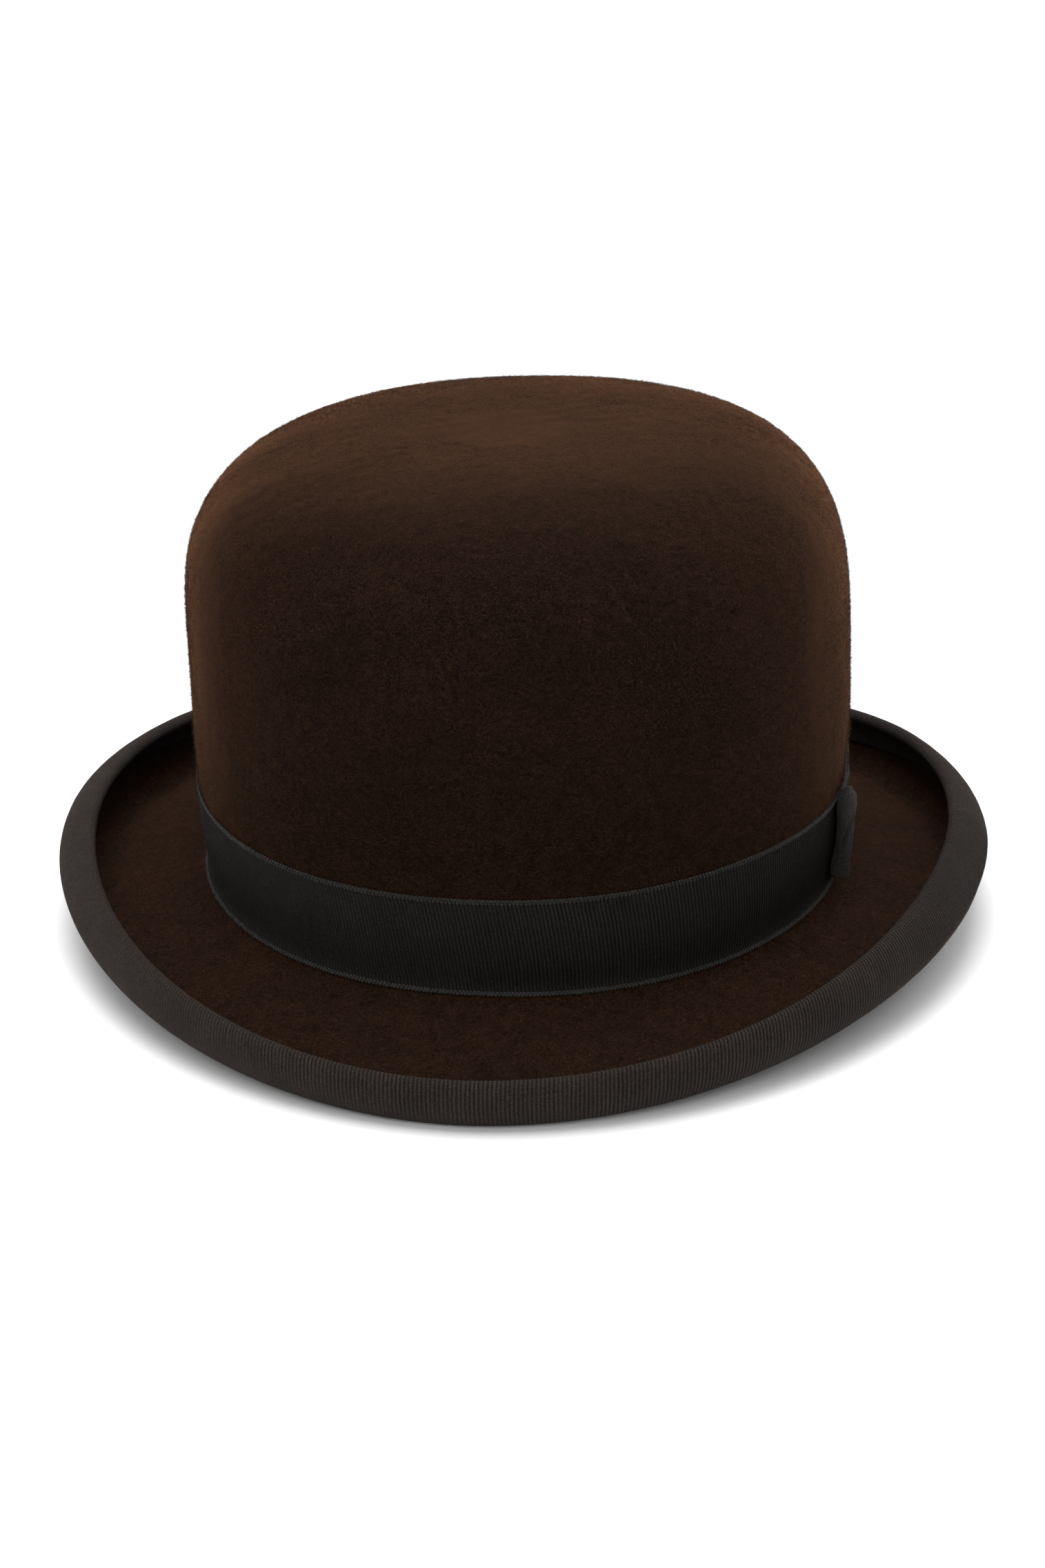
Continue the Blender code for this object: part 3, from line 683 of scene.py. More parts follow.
def paper_material():
    return flecked_material("label_paper_fibre", (1400.0, 4.0, 0.65, 0.0, 1.0),
                            (0.3, (0.66, 0.62, 0.53)), (0.7, (0.86, 0.83, 0.75)),
                            (0.7, 0.95), (0.00005, 0.5), Specular_IOR_Level=0.2)


def reed_material():
    return flecked_material("springy_reed_plastic", (300.0, 4.0, 0.55, 0.0, 6.0),
                            (0.3, (0.46, 0.43, 0.36)), (0.7, (0.62, 0.59, 0.50)),
                            (0.35, 0.6), (0.00004, 0.4))


# ---------------------------------------------------------------------- felt
def felt_lumps(points):
    """The slight unevenness that blocking and brushing leave."""
    return 0.00010 * smooth_noise(points, 0.034, 3) + 0.00004 * smooth_noise(points, 0.009, 5)


def stepped(stops, counts):
    """Values that step from stop to stop, with so many steps in each stretch."""
    parts = [np.linspace(a, b, count + 1)[1:] for a, b, count in zip(stops, stops[1:], counts)]
    return np.concatenate([stops[:1], *parts])


def make_felt(material):
    """The shell: from its top out to its rounded edge, and back underneath."""
    section = Section(ring_angles(FELT_COLUMNS))
    dome = (1 - np.cos(np.linspace(0.10, pi / 2, 58)[:-1]) ** 0.82) / 2
    upper = np.concatenate([dome, stepped((0.5, 1.0, 2.0, 3.0, 4.0), (33, 8, 8, 25))])
    under = stepped((4.0, 3.0, 2.0, 1.0, 0.06), (21, 5, 5, 25))

    def ring(walk, depth, unevenness):
        points = section.on_face(walk, depth)
        if walk <= BINDING_START:
            out = unit(section.on_face(walk, depth - 0.001) - points)
            points = points + out * (felt_lumps(points) * unevenness)[:, None]
        points[:, 2] = np.maximum(points[:, 2], 0.0)
        return points

    rings = [ring(walk, 0.0, 1.0) for walk in upper]
    rings += [section.round_edge(radians(turn), FELT / 2) for turn in (135, 90, 45)]
    rings += [ring(walk, FELT, 0.5) for walk in under]
    length = ring_angles(FELT_COLUMNS) * MEAN_RADIUS
    up = 0.03 * np.concatenate([upper, [4.0] * 3, under])
    piece = loop_solid("felt_shell", np.stack(rings), material, False,
                       grid_uv(length, up))
    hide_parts("felt_body")


def make_nap(name, material, count, seed, walks, lengths, lift, radius, curved=False,
             outward=True):
    """Short hairs rooted in the felt, as closed spikes of three sides.

    Walks is the part of the face they grow on, lift their rise off it in degrees.
    """
    rng = np.random.default_rng(seed)
    tries = count * 8
    angle = rng.uniform(0, TURN, tries)
    walk = rng.uniform(*walks, tries)
    section = Section(angle)
    depth, sky = (HAIR_ROOT, -0.001) if outward else (FELT - HAIR_ROOT, 0.001)
    step = 0.002
    here = section.on_face(walk, depth)
    down = section.on_face(walk + step, depth) - here
    side = Section(angle + step).on_face(walk, depth) - here
    normal = np.cross(side, down)
    # Roots are kept in proportion to the area they stand for, so they cover it evenly.
    area = np.linalg.norm(normal, axis=-1)
    keep = rng.uniform(0, np.quantile(area, 0.999), tries) < area
    keep = np.flatnonzero(keep)[:count]
    away = section.on_face(walk, depth + sky)[keep] - here[keep]
    here, side, normal = here[keep], unit(side[keep]), unit(normal[keep])
    normal *= np.sign(np.einsum("ij,ij->i", normal, away))[:, None]
    down = np.cross(normal, side)
    n = len(keep)
    # A third of the hairs lie round the hat, as it was brushed; the rest go any way.
    spin = np.where(rng.uniform(size=n) < 0.33,
                    rng.normal(0, 0.4, n) + 0.6 * smooth_noise(here, 0.05, seed + 1),
                    rng.uniform(0, TURN, n))[:, None]
    flat = side * np.cos(spin) + down * np.sin(spin)
    across = down * np.cos(spin) - side * np.sin(spin)
    rise = np.radians(rng.uniform(*lift, n))[:, None]
    length = rng.uniform(*lengths, n)[:, None]
    bend = rng.normal(0, 0.35, n)[:, None]
    tip_rise = rise * (1 - 1.4 * rng.uniform(0.1, 0.6, n)[:, None])
    middle = here + length * 0.5 * (flat * np.cos(rise) + normal * np.sin(rise))
    tip = middle + length * 0.5 * (flat * np.cos(tip_rise) + across * bend
                                   + normal * np.sin(tip_rise))
    turn = ring_angles(3)[:, None]
    ring = across[:, None] * np.cos(turn) + np.cross(flat, across)[:, None] * np.sin(turn)
    ring *= radius * rng.uniform(0.7, 1.2, n)[:, None, None]
    levels = [here[:, None] + ring]
    if curved:
        levels.append(middle[:, None] + ring * 0.8)
    points = np.concatenate(levels + [tip[:, None]], 1)
    points[..., 2] = np.maximum(points[..., 2], 0.00002)
    k = np.arange(3)
    after = (k + 1) % 3
    last = points.shape[1] - 4
    faces = [np.concatenate([np.stack([last + k, last + after, np.full(3, last + 3)], -1),
                             [[2, 1, 0]]])]
    if curved:
        faces.append(np.stack([k, after, 3 + after, 3 + k], -1))
    repeat_body(name, points, faces, material)


# -------------------------------------------------------------------- ribbon
def even_angles(place, columns):
    """Angles that step evenly along a closed line round the hat."""
    fine = np.linspace(0, TURN, 4001)
    line = place(fine)
    length = np.concatenate([[0], np.cumsum(np.linalg.norm(np.diff(line, axis=0), axis=1))])
    target = np.arange(columns) * length[-1] / columns
    return np.interp(target, length, fine), target, length[-1]


def make_binding(material):
    """The ribbon folded over the edge of the brim, with its ribs."""
    def edge_line(angle):
        section = Section(angle)
        return section.on_curl(section.curl_finish, FELT)

    total = even_angles(edge_line, 10)[2]
    ribs = round(total / BINDING_RIB_PITCH)
    angle, along, total = even_angles(edge_line, ribs * COLUMNS_PER_RIB)
    section = Section(angle)
    wobble = 0.8 + 0.2 * np.sin(along * 90.0) * np.sin(along * 37.0)
    wave = np.sin(TURN * along / (total / ribs)) * wobble
    outer_turn = BINDING_OUTSIDE / (section.curl_radius + FELT / 2)
    inner_turn = BINDING_INSIDE / (section.curl_radius - FELT / 2)

    def ring(part, place, out, relief):
        """A line round the hat, and how far across the ribbon it is."""
        reach = out + relief * wave
        if part != "edge" and place < 0.05:
            reach = out + relief * wave * 0.35 - (0.00013 if relief else 0.0)
        if part == "outside":
            facing = section.curl_finish - outer_turn * (1 - place)
            points = section.on_curl(facing, FELT + reach)
            width = -BINDING_OUTSIDE * (1 - place)
        elif part == "edge":
            points = section.round_edge(pi * place, FELT / 2 + reach)
            width = FELT * place
        else:
            facing = section.curl_finish - inner_turn * (1 - place)
            points = section.on_curl(facing, -reach)
            width = FELT + BINDING_INSIDE * (1 - place)
        points[:, 2] = np.maximum(points[:, 2], 0.00005)
        return points, width

    shown = [("outside", place)
             for place in (0.0, 0.03, 0.09, 0.2, 0.33, 0.47, 0.6, 0.73, 0.87, 1.0)]
    shown += [("edge", degrees / 180) for degrees in (35, 70, 110, 145)]
    shown += [("inside", place) for place in (1.0, 0.75, 0.5, 0.28, 0.10, 0.0)]
    hidden = [("outside", place) for place in (0.0, 0.35, 0.7, 1.0)]
    hidden += [("edge", 1 / 3), ("edge", 2 / 3)]
    hidden += [("inside", place) for place in (1.0, 0.5, 0.0)]
    rings = [ring(*row, BINDING_GAP + RIBBON, RIB) for row in shown]
    rings += [ring(*row, BINDING_GAP, 0.0) for row in hidden[::-1]]
    points, widths = zip(*rings)
    piece = loop_solid("binding_ribbon", np.stack(points), material, True,
                       grid_uv(along, widths))
    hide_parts("brim_binding")


def band_frame():
    """Angles round the hat, and the length round the band at mid height at each."""
    fine = np.linspace(0, TURN, 6001)
    section = Section(fine)
    line = section.on_band(0.009, -GAP)
    length = np.concatenate([[0], np.cumsum(np.linalg.norm(np.diff(line, axis=0), axis=1))])
    return fine, length


BAND_FINE, BAND_LENGTH = band_frame()
BAND_TOTAL = BAND_LENGTH[-1]
BAND_RIBS = round(BAND_TOTAL / BAND_RIB_PITCH)
BAND_WIDTH = BAND_ABOVE_BREAK + BAND_BELOW_BREAK
BOW_LENGTH = np.interp(BOW_CENTRE, BAND_FINE, BAND_LENGTH)


def band_angle(length):
    """The angle at a length round the band from the left side."""
    turns = np.floor(length / BAND_TOTAL)
    return np.interp(length - turns * BAND_TOTAL, BAND_LENGTH, BAND_FINE) + turns * TURN


def band_points(length, rise, stand):
    """Points by the band: length round it, height above the break, off the felt."""
    return Section(band_angle(length)).on_band(rise, -BAND_OUT - stand)


def skewed(length, share):
    """Length round the band of a rib that starts straight below at a given length."""
    low, high = BAND_SKEW
    return length - BAND_WIDTH * (low * share + (high - low) * share ** 2 / 2)


def band_rise(length, share):
    """Height on the band, from 0 at its lower edge to 1; the bow drags it down a little."""
    to_bow = np.cos(band_angle(length))
    near, far = np.maximum(to_bow, 0.0), np.maximum(-to_bow, 0.0)
    low = -BAND_BELOW_BREAK + 0.0004 - 0.0022 * near ** 4 + 0.0004 * far ** 4
    high = BAND_ABOVE_BREAK - 0.0005 + 0.0004 * to_bow + 0.0006 * near - 0.0046 * near ** 6
    return low + (high - low) * share


def make_band(material):
    columns = BAND_RIBS * COLUMNS_PER_RIB
    along = np.arange(columns) * BAND_TOTAL / columns
    wave = np.sin(TURN * along * BAND_RIBS / BAND_TOTAL)
    shares = np.concatenate([[0.0, 0.012, 0.03], np.linspace(0.07, 0.93, 13),
                             [0.97, 0.988, 1.0]])

    def ring(share, base, relief):
        line = skewed(along, share)
        dip = 1.0 if 0.04 < share < 0.96 else 0.5
        slack = 0.00025 * (1 - np.cos(TURN * share)) / 2
        ripple = 0.00012 * np.sin(line * 31.0 + 1.0) * np.sin(line * 83.0) * share
        uneven = 0.00010 * np.sin(line * 47.0) * (2 * share - 1)
        return band_points(line, band_rise(line, share) + uneven,
                           base + relief * dip * wave + slack + ripple)

    faces = [np.stack([ring(share, *face) for share in shares])
             for face in ((RIBBON, RIB), (0.0, 0.0))]
    piece = strip_solid("band_ribbon", faces, material, along, BAND_WIDTH * shares)
    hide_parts("hat_band")


def make_band_edges(material):
    """The woven loops along both edges of the band, two rows of small beads each."""
    rng = np.random.default_rng(RNG_SEED + 7)
    lines = []
    rises = []
    for edge, way in ((0.0, 1), (1.0, -1)):
        for k in range(2):
            line = (np.arange(BAND_RIBS) + 0.25 + 0.5 * k) * (BAND_TOTAL / BAND_RIBS)
            lines.append(skewed(line, edge))
            rises.append(band_rise(lines[-1], edge) + way * (BEAD_INSET + BEAD_ROW_GAP * k))
    count = 4 * BAND_RIBS
    lines = np.concatenate(lines) + rng.normal(0, 0.00004, count)
    rises = np.concatenate(rises) + rng.normal(0, 0.00004, count)
    stand = RIBBON + 0.00002
    step = 0.0002
    here = band_points(lines, rises, stand)
    along = unit(band_points(lines + step, rises, stand) - here)
    up = unit(band_points(lines, rises + step, stand) - here)
    out = np.cross(along, up)
    tilt = rng.normal(0.5, 0.25, count)[:, None]
    long_way = along * np.cos(tilt) + up * np.sin(tilt)
    short_way = up * np.cos(tilt) - along * np.sin(tilt)
    # A low round bead: two rings of six points and a point at each end.
    turn = ring_angles(6)[:, None]
    size = rng.uniform(0.85, 1.15, count)[:, None, None]
    ring = (short_way[:, None] * np.cos(turn) * BEAD_RADII[0]
            + out[:, None] * np.sin(turn) * BEAD_RADII[1])
    here, long_way = here[:, None], long_way[:, None]
    points = np.concatenate([here - long_way * BEAD_HALF,
                             here + (ring - long_way * BEAD_BELLY) * size,
                             here + (ring + long_way * BEAD_BELLY) * size,
                             here + long_way * BEAD_HALF], 1)
    k = np.arange(6)
    after = (k + 1) % 6
    ends = np.concatenate([np.stack([np.zeros(6, int), 1 + after, 1 + k], -1),
                           np.stack([np.full(6, 13), 7 + k, 7 + after], -1)])
    sides = np.stack([1 + k, 1 + after, 7 + after, 7 + k], -1)
    repeat_body("band_edge_loops", points, [ends, sides], material)


def eased(place, places, values):
    """Interpolation that is flat at each given place."""
    k = int(np.clip(np.searchsorted(places, place, "right") - 1, 0, len(places) - 2))
    share = (place - places[k]) / (places[k + 1] - places[k])
    share = share * share * (3 - 2 * share)
    return values[k] * (1 - share) + values[k + 1] * share


def loop_side(half, radius, grow, straight, bend):
    """One end of the bow's ring: out along the back layer, round, back along the front."""
    flat = BOW_RIBBON / 2 + 0.00003
    out = np.linspace(0.0, 1.0, straight)
    opening = flat + (radius - flat) * out ** 5
    turn = np.linspace(-pi / 2, pi / 2, bend + 2)[1:-1]
    along = np.concatenate([out * (half - radius),
                            half - radius + (radius + grow) * np.cos(turn),
                            out[::-1] * (half - radius)])
    side = np.concatenate([-(opening + grow), (radius + grow) * np.sin(turn),
                           opening[::-1] + grow])
    middle = np.concatenate([opening, np.full(bend, radius), opening[::-1]])
    reach = np.concatenate([out, np.ones(bend), out[::-1]])
    return along, middle + side, reach, side


def bow_row(row, grow):
    """Length, stand-off, reach and edges of the bow's ring at one height share."""
    radius = eased(row, FOLD_ROWS, FOLD_RADII)
    along, stand, reach, side = loop_side(BOW_FRONT_HALF, radius, grow, 40, 23)
    # A soft crease runs slantwise down the face of the front fold to its waist.
    place = side / radius
    dent = 0.0013 * np.exp(-((row - 0.45 - 0.30 * place) / 0.085) ** 2) * reach ** 6
    dent = dent * np.clip(1.3 - np.abs(place - 0.2), 0.0, 1.0)
    # Its top and bottom lean back from the front.
    back = 0.0030 * (max(row - 0.72, 0.0) / 0.28) ** 2
    back += 0.0018 * (max(0.12 - row, 0.0) / 0.12) ** 2
    along = -(along - dent - back * reach ** 6)
    stand = stand + eased(row, FOLD_ROWS, FOLD_GAPS) * reach ** 6 - 0.4 * dent
    low = BOW_LOW + (BOW_FRONT_LOW - BOW_LOW) * reach ** 2
    high = BOW_HIGH + (BOW_FRONT_HIGH - BOW_HIGH) * reach ** 5
    behind = loop_side(BOW_BACK_HALF, 0.00045 + 0.00015 * sin(row * 5.0), grow, 32, 9)
    behind = [part[::-1][1:-1] for part in behind]
    along = np.concatenate([along, behind[0]])
    stand = np.concatenate([stand, behind[1]])
    reach = np.concatenate([reach, behind[2]])
    low = np.concatenate([low, np.full(len(behind[2]), BOW_LOW)])
    high = np.concatenate([high, np.full(len(behind[2]), BOW_HIGH)])
    return along, stand + BAND_FACE + BOW_RIBBON / 2, reach, low, high


def make_bow(material):
    """One ribbon ring: flat under the knot, opening into a soft fold at each end."""
    rows = np.linspace(0.0, 1.0, 57)
    faces = []
    for grow, relief in ((BOW_RIBBON / 2, RIB * 0.7), (-BOW_RIBBON / 2, 0.0)):
        grid = []
        for row in rows:
            along, stand, reach, low, high = bow_row(row, grow)
            gather = 1 - 0.34 * (1 - np.minimum(reach * 2.0, 1.0)) ** 2
            rise = (low + high) / 2 + (high - low) * (row - 0.5) * gather
            ribs = relief * np.sin(TURN * along / BAND_RIB_PITCH)
            lean = BOW_LEAN * row * (BOW_HIGH - BOW_LOW)
            grid.append(band_points(BOW_LENGTH + along - lean, rise, stand + ribs))
        faces.append(np.stack(grid))
    length = np.cumsum(np.abs(np.diff(along, prepend=along[0])))
    piece = strip_solid("bow_ribbon", faces, material, length,
                        BOW_LOW + (BOW_HIGH - BOW_LOW) * rows)
    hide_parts("bow_loops")


def squared(wave, power):
    """A sine or cosine pushed towards a square wave."""
    return np.sign(wave) * np.abs(wave) ** power


def make_knot(material):
    """The short ribbon wrapped round the middle of the bow."""
    turn = ring_angles(96)
    shares = np.linspace(-1.0, 1.0, 25)
    back = BAND_FACE - 0.00004
    front = BAND_FACE + 2 * BOW_RIBBON + 0.00045
    half_height = (BOW_HIGH - BOW_LOW) / 2 * 0.66 + 0.0006
    length = KNOT_ROUND * turn / TURN
    faces = []
    for grow, relief in ((0.0, RIB * 0.6), (-0.00022, 0.0)):
        grid = []
        for share in shares:
            top = front + 0.00012 * (1 - share ** 2) + 0.00005 * np.cos(share * 9.0)
            stand = (top + back) / 2 + ((top - back) / 2 + grow) * squared(np.cos(turn), 0.4)
            half = half_height + 0.0003 * (1 - share ** 2) + grow
            rise = (BOW_LOW + BOW_HIGH) / 2 + half * squared(np.sin(turn), 0.5)
            ribs = relief * np.sin(TURN * length / BAND_RIB_PITCH) * np.abs(np.cos(turn))
            along = KNOT_HALF * share * (1 - 0.10 * np.cos(turn) ** 2) + 0.0006 * np.sin(turn)
            along = BOW_LENGTH + along - BOW_LEAN * (rise - BOW_LOW)
            grid.append(band_points(along, rise, stand + ribs))
        faces.append(np.stack(grid))
    piece = strip_solid("bow_wrap", faces, material, length, KNOT_HALF * shares)
    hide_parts("bow_knot")


# --------------------------------------------------------------------- inside
def make_stitches(name, angles, half_angle, rise, slant, depth, arch, radius, thread):
    """A row of stitches that arch off a face; a slant turns every other one over."""
    share = np.linspace(-1, 1, 5)
    way = np.where(np.arange(len(angles)) % 2, 1, -1)[:, None]
    section = Section(angles[:, None] + share * half_angle)
    paths = section.on_wall(rise + slant * share * way, depth + arch * (1 - share ** 2))
    tube_object(name, paths, radius, 5, False, thread)


def make_sweatband(leather, thread):
    """The leather band, butted at the back, with its zigzag stitches."""
    gap = 0.0003 / CROWN_HALF_LENGTH
    ends = (pi / 2 + gap, pi / 2 + TURN - gap)
    angle = np.linspace(*ends, 420)
    section = Section(angle)
    shares = np.concatenate([[0.0, 0.01], np.linspace(0.05, 0.95, 14), [0.99, 1.0]])
    rises = SWEATBAND_LOW + (SWEATBAND_HIGH - SWEATBAND_LOW) * shares
    slack = 0.0004 * np.sin(shares * pi) - 0.0002 * shares
    waves = [0.00008 * smooth_noise(section.base + (0, 0, rise), 0.02, 8) for rise in rises]
    faces = [np.stack([section.on_wall(rise, depth + ease + wave)
                       for rise, ease, wave in zip(rises, slack, waves)])
             for depth in (SWEATBAND_DEPTH - LEATHER / 2, SWEATBAND_FACE)]
    piece = strip_solid("sweatband_leather", faces, leather,
                        angle * MEAN_RADIUS, rises, False)
    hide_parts("sweatband")
    make_stitches("sweatband_stitches", np.linspace(ends[0] + 0.01, ends[1] - 0.01, 260),
                  0.0075, 0.0022, 0.0012, SWEATBAND_FACE + 0.00016, 0.00014, 0.00016, thread)


def make_tape(material, thread):
    """The tape folded round the reed."""
    angle = ring_angles(300)
    section = Section(angle)
    reed = SWEATBAND_LOW - GAP - REED_RADIUS

    def fold(half):
        places = [(TAPE_HIGH, -half), (TAPE_HIGH - 0.0015, -half)]
        places += [(reed + half * sin(turn), half * cos(turn))
                   for turn in np.linspace(pi, TURN, 11)]
        places += [(TAPE_HIGH - 0.0015, half), (TAPE_HIGH, half)]
        return np.stack([section.on_wall(rise, SWEATBAND_DEPTH + side)
                         for rise, side in places])

    faces = [fold(TAPE_HALF_GAP + TAPE), fold(TAPE_HALF_GAP)]
    piece = strip_solid("reed_tape_cloth", faces, material,
                        angle * CROWN_HALF_LENGTH, np.linspace(0, 0.02, len(faces[0])))
    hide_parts("reed_tape")
    make_stitches("tape_stitches", angle, 0.0062, 0.0001, 0.0,
                  SWEATBAND_DEPTH + TAPE_HALF_GAP + TAPE + 0.00008, 0.00012, 0.00013, thread)


def lining_depth(share):
    """The lining lies on the felt low down and hangs off it at the shoulder."""
    return FELT + GAP + LINING_SAG * (np.maximum(share, 0.0) / LINING_END) ** 2


def make_lining_side(material):
    """The side piece, gathered towards its upper edge."""
    angle = ring_angles(480)
    section = Section(angle)
    low = LINING_LOW / section.wall_rise[0] - 1
    shares = np.linspace(low, LINING_END, 40)
    pleats = 1 + np.sin(angle * 46 + 3 * np.sin(angle * 3))
    gathers = 0.0007 * np.linspace(0.0, 1.0, 40) ** 1.5
    faces = [np.stack([section.on_crown(share, lining_depth(share) + thickness + gather * pleats)
                       for share, gather in zip(shares, gathers)])
             for thickness in (0.00005, SATIN * 0.7)]
    piece = strip_solid("lining_side_satin", faces, material,
                        angle * CROWN_HALF_LENGTH, shares * 0.06)
    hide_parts("lining_side")


def piping_centre(section):
    way = -section.radial * cos(PIPING_LEAN)
    way[..., 2] = sin(PIPING_LEAN)
    return (section.on_crown(LINING_END, lining_depth(LINING_END) + SATIN / 2)
            + way * (PIPING_RADIUS + GAP))


def make_piping(material):
    """Two twisted strands of satin cord round the tip."""
    angle = ring_angles(1400)
    section = Section(angle)
    centre = piping_centre(section)
    paths = []
    for half in (0.0, pi):
        turn = angle * 150 + half
        offset = section.radial * np.cos(turn)[:, None]
        offset[:, 2] = np.sin(turn)
        paths.append(centre + offset * 0.00042)
    piece = tube_object("lining_piping_cord", np.stack(paths), 0.00046, 7, True, material)
    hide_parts("lining_piping")


def make_tip(name, node, material, reach, drop, folds):
    """A shallow dome across the piping, a share of its reach wide and a drop below it."""
    angle = ring_angles(320)
    section = Section(angle)
    rim = piping_centre(section)
    edge = rim - section.radial * TIP_INSET
    middle = np.array([CROWN_LEAN, 0.0, rim[:, 2].mean()])
    shares = np.linspace(0.02, 1.0, 30)
    faces = []
    for side in (0.0, SATIN):
        rings = []
        for share in shares:
            points = middle + (edge - middle) * (share * reach)
            points[:, 2] += TIP_RISE * (1 - (share * reach) ** 2) - drop - side
            points[:, 2] += folds * smooth_noise(points, 0.03, 21) * (1 - share)
            rings.append(points)
        faces.append(np.stack(rings))
    piece = loop_solid(name, np.concatenate([faces[0], faces[1][::-1]]), material, False,
                       grid_uv(angle * 0.01, 0.08 * np.concatenate([shares, shares[::-1]])))
    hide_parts(node)
    return piece


def back_points(along, rise, depth):
    """Points inside the back of the hat, by the distance round from its middle."""
    return Section(pi / 2 - along / CROWN_HALF_WIDTH).on_wall(rise, depth)


def make_inner_bow(ribbon, thread):
    """The small flat ribbon bow over the joint of the leather."""
    face = SWEATBAND_FACE + 0.0002
    along = np.linspace(-INNER_BOW_HALF, INNER_BOW_HALF, 121)
    reach = np.abs(along) / INNER_BOW_HALF
    rows = np.linspace(-1, 1, 17)
    flare = 0.0015 + 0.0027 * reach ** 0.8
    puff = (0.0008 + 0.0010 * reach * (1.6 - reach)
            + 0.00009 * np.sin(TURN * along / INNER_BOW_RIB_PITCH))
    faces = [np.stack([back_points(along, INNER_BOW_RISE + row * flare,
                                   face + layer * (puff - 0.0003 * row ** 2)) for row in rows])
             for layer in (0, 1)]
    piece = strip_solid("inner_bow", faces, ribbon, along, 0.004 * (rows + 1), False)
    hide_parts("sweatband_bow")
    turn = np.linspace(0, TURN, 40, endpoint=False)
    path = back_points(0.0009 * np.sin(turn * 2), INNER_BOW_RISE + 0.0021 * np.cos(turn),
                       face + 0.0008 + 0.0010 * np.sin(turn))
    tube_object("inner_bow_knot", path[None], 0.0005, 8, True, thread)


def make_label(material):
    """The blank label, with corners that lift a little."""
    along = np.linspace(0.020, 0.038, 19)
    rises = np.linspace(0.020, 0.031, 13)
    places, heights = np.meshgrid(np.linspace(-1, 1, 19), np.linspace(-1, 1, 13))
    lifted = SWEATBAND_FACE + 0.00025 + 0.0005 * np.abs(places * heights) ** 4
    faces = [np.stack([back_points(along, rise, depths + thick)
                       for rise, depths in zip(rises, lifted)]) for thick in (0.0, 0.00018)]
    piece = strip_solid("label_sheet", faces, material, along, rises, False)
    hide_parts("size_label")


def make_stray_thread(material):
    """A loose curl of thread standing off the rim on the side away from the bow."""
    section = Section(np.array([radians(150.0)]))
    start = section.round_edge(radians(160), FELT / 2 + 0.0006)[0]
    turn = np.linspace(0, 0.85 * TURN, 36)
    path = np.stack([-0.0006 + 0.0014 * np.sin(turn), 0.0006 * np.sin(turn * 0.7),
                     0.0003 + 0.00153 * (1 - np.cos(turn))], -1)
    tube_object("stray_thread", (start + path)[None], 0.00012, 6, False, material)


# --------------------------------------------------------------- build it all
make_felt(felt_material())

hair = fibre_material("nap_hair", (0.0210, 0.0112, 0.0066), 0.14)
lint = fibre_material("nap_guard_hair", (0.0260, 0.0145, 0.0095), 0.08)
# Name, fibre, hairs, seed, walk over the face, length, lift in degrees, radius.
for nap in (
        ("nap_crown_a", hair, 45000, 0, CROWN_WALK, (0.0005, 0.0011), (10, 50), 0.000042),
        ("nap_crown_b", hair, 45000, 1, CROWN_WALK, (0.0007, 0.0016), (35, 85), 0.000034),
        ("nap_fuzz_a", hair, 48000, 12, CROWN_WALK, (0.0007, 0.0019), (45, 90), 0.000044),
        ("nap_fuzz_b", hair, 48000, 13, CROWN_WALK, (0.0005, 0.0014), (45, 90), 0.000044),
        ("nap_fuzz_c", hair, 48000, 14, CROWN_WALK, (0.0006, 0.0016), (30, 80), 0.000040),
        ("nap_crown_c", lint, 19000, 4, CROWN_WALK, (0.0015, 0.0032), (2, 14), 0.000050, True),
        ("nap_brim_a", hair, 45000, 2, BRIM_WALK, (0.0005, 0.0011), (10, 60), 0.000040),
        ("nap_brim_b", lint, 11000, 5, BRIM_WALK, (0.0010, 0.0024), (2, 18), 0.000044, True),
        ("nap_under_brim", hair, 20000, 3, (1.6, 3.4), (0.0004, 0.0010), (10, 60), 0.000034,
         False, False)):
    make_nap(*nap[:3], RNG_SEED + nap[3], *nap[4:])

band_cloth = grosgrain_material("band_grosgrain", BAND_RIB_PITCH, (0.0086, 0.0078, 0.0069))
# The bow's ribbon is the band's grosgrain coloured about twice as light: painted light, on the
# bow, its knot and the inner bow.
bow_cloth_painted_light = grosgrain_material("bow_grosgrain_painted_light", BAND_RIB_PITCH, (0.0180, 0.0168, 0.0155), 0.08)
ribbon_thread = cloth_material("charcoal_thread", (0.0125, 0.0115, 0.0105), 3000.0)
make_binding(grosgrain_material("binding_grosgrain", BINDING_RIB_PITCH,
                                (0.0150, 0.0112, 0.0096)))
make_band(band_cloth)
make_band_edges(ribbon_thread)
make_bow(bow_cloth_painted_light)
make_knot(bow_cloth_painted_light)

brown_thread = cloth_material("brown_thread", (0.045, 0.026, 0.016), 3000.0)
satin = satin_material("bronze_satin_lining", (0.21, 0.135, 0.075))
make_sweatband(leather_material(), brown_thread)
make_tape(cloth_material("reed_tape_weave", (0.035, 0.022, 0.016), 1600.0), brown_thread)
make_lining_side(satin)
make_piping(satin_material("piping_satin", (0.10, 0.055, 0.030)))
tip = make_tip("lining_tip_satin", "lining_tip", satin, 1.0, 0.0, 0.0004)
make_tip("tip_shield_sheet", "tip_shield", sheet_material(), 0.90, 0.0016,
         0.0001)
make_inner_bow(bow_cloth_painted_light, ribbon_thread)
make_label(paper_material())
make_stray_thread(ribbon_thread)

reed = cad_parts["sweatband_reed"]
reed.data.materials.clear()
reed.data.materials.append(reed_material())


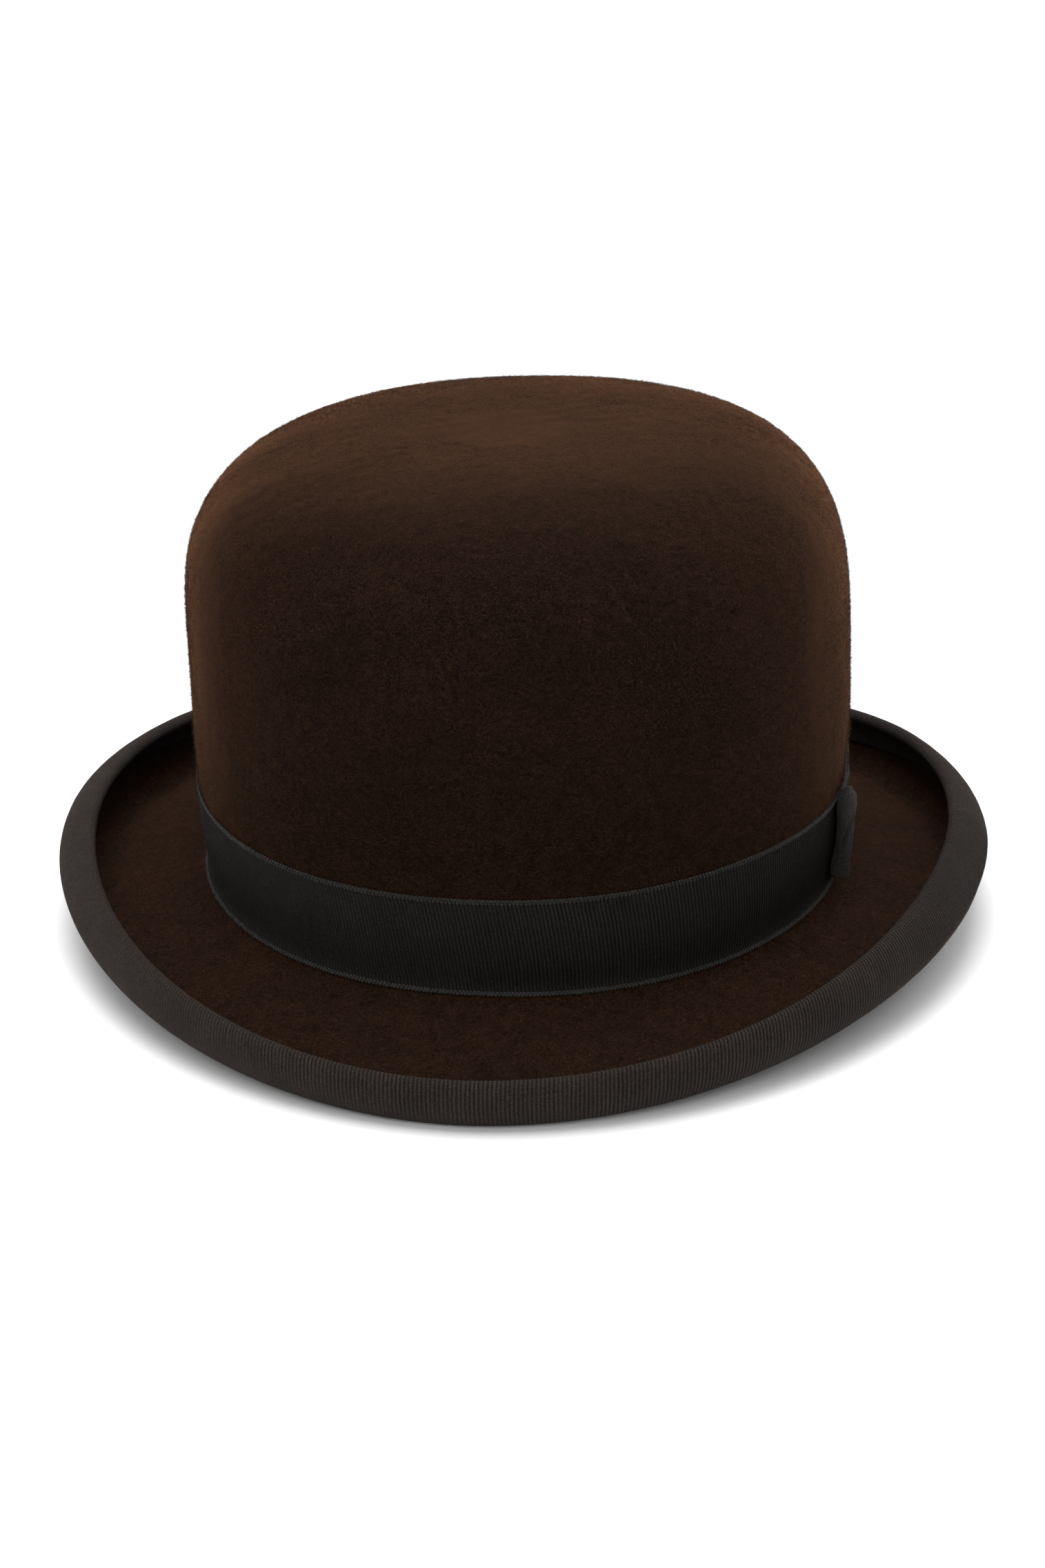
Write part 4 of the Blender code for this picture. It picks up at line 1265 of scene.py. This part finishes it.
# ------------------------------------------------------- floor, light, camera
FLOOR_REACH = 6.0
CAMERA_RISE = 20.637               # degrees above the hat, then towards the bow
CAMERA_SIDE = 6.149
CAMERA_ROLL = -0.1004
CAMERA_DISTANCE = 1.06158
CAMERA_TARGET = (-0.00069, 0.0, 0.03404)
CAMERA_LENS = 86.3953              # millimetres, on a sensor 36 high


def make_floor():
    mesh = bpy.data.meshes.new("floor")
    corners = ((-1, -1), (1, -1), (1, 1), (-1, 1))
    mesh.from_pydata([(x * FLOOR_REACH, y * FLOOR_REACH, 0) for x, y in corners], [],
                     [(0, 1, 2, 3)])
    m = Nodes("white_table")
    m.set(Roughness=0.9, Specular_IOR_Level=0.1)
    m.feed(Base_Color=m.ramp(m.noise(m.place(), 3.0, 2.0), (0.0, 0.88), (1.0, 0.90)))
    mesh.materials.append(m.material)
    floor = bpy.data.objects.new("floor", mesh)
    bpy.context.scene.collection.objects.link(floor)


def make_light(name, place, aim, size, power):
    data = bpy.data.lights.new(name, "AREA")
    data.shape = "RECTANGLE"
    data.size, data.size_y = size
    data.energy = power
    light = bpy.data.objects.new(name, data)
    light.location = place
    light.rotation_mode = "QUATERNION"
    light.rotation_quaternion = (Vector(aim) - Vector(place)).to_track_quat("-Z", "Y")
    bpy.context.scene.collection.objects.link(light)


def make_world(strength):
    world = bpy.data.worlds.new("studio")
    world.use_nodes = True
    back = world.node_tree.nodes["Background"]
    back.inputs["Color"].default_value = (1.0, 1.0, 1.0, 1.0)
    back.inputs["Strength"].default_value = strength
    bpy.context.scene.world = world


def make_camera():
    """A long lens, turned round the hat, raised, rolled and set back from its target."""
    rise, side, roll = (radians(angle) for angle in (CAMERA_RISE, CAMERA_SIDE, CAMERA_ROLL))
    back = Vector((sin(side) * cos(rise), -cos(side) * cos(rise), sin(rise)))
    right = (-back).cross(Vector((0, 0, 1))).normalized()
    up = right.cross(-back)
    rolled = (right * cos(roll) + up * sin(roll), up * cos(roll) - right * sin(roll), back)
    data = bpy.data.cameras.new("camera")
    data.sensor_fit = "VERTICAL"
    data.sensor_height = 36.0
    data.lens = CAMERA_LENS
    data.clip_start = 0.05
    data.clip_end = 50.0
    camera = bpy.data.objects.new("camera", data)
    bpy.context.scene.collection.objects.link(camera)
    matrix = Matrix(rolled).transposed().to_4x4()
    matrix.translation = Vector(CAMERA_TARGET) + back * CAMERA_DISTANCE
    camera.matrix_world = matrix
    bpy.context.scene.camera = camera


make_floor()
make_world(0.58)
make_light("overhead_box", (-0.12, 0.00, 1.5), (0.0, 0.0, 0.05), (1.6, 1.2), 28.0)
make_light("back_box", (0.50, 1.5, 1.3), (0.0, 0.0, 0.08), (2.2, 0.9), 17.0)
make_light("front_box", (0.0, -1.5, 1.0), (0.0, 0.0, 0.03), (1.8, 1.0), 12.0)
make_camera()
bpy.context.scene.view_settings.view_transform = "Standard"
bpy.context.scene.view_settings.look = "None"
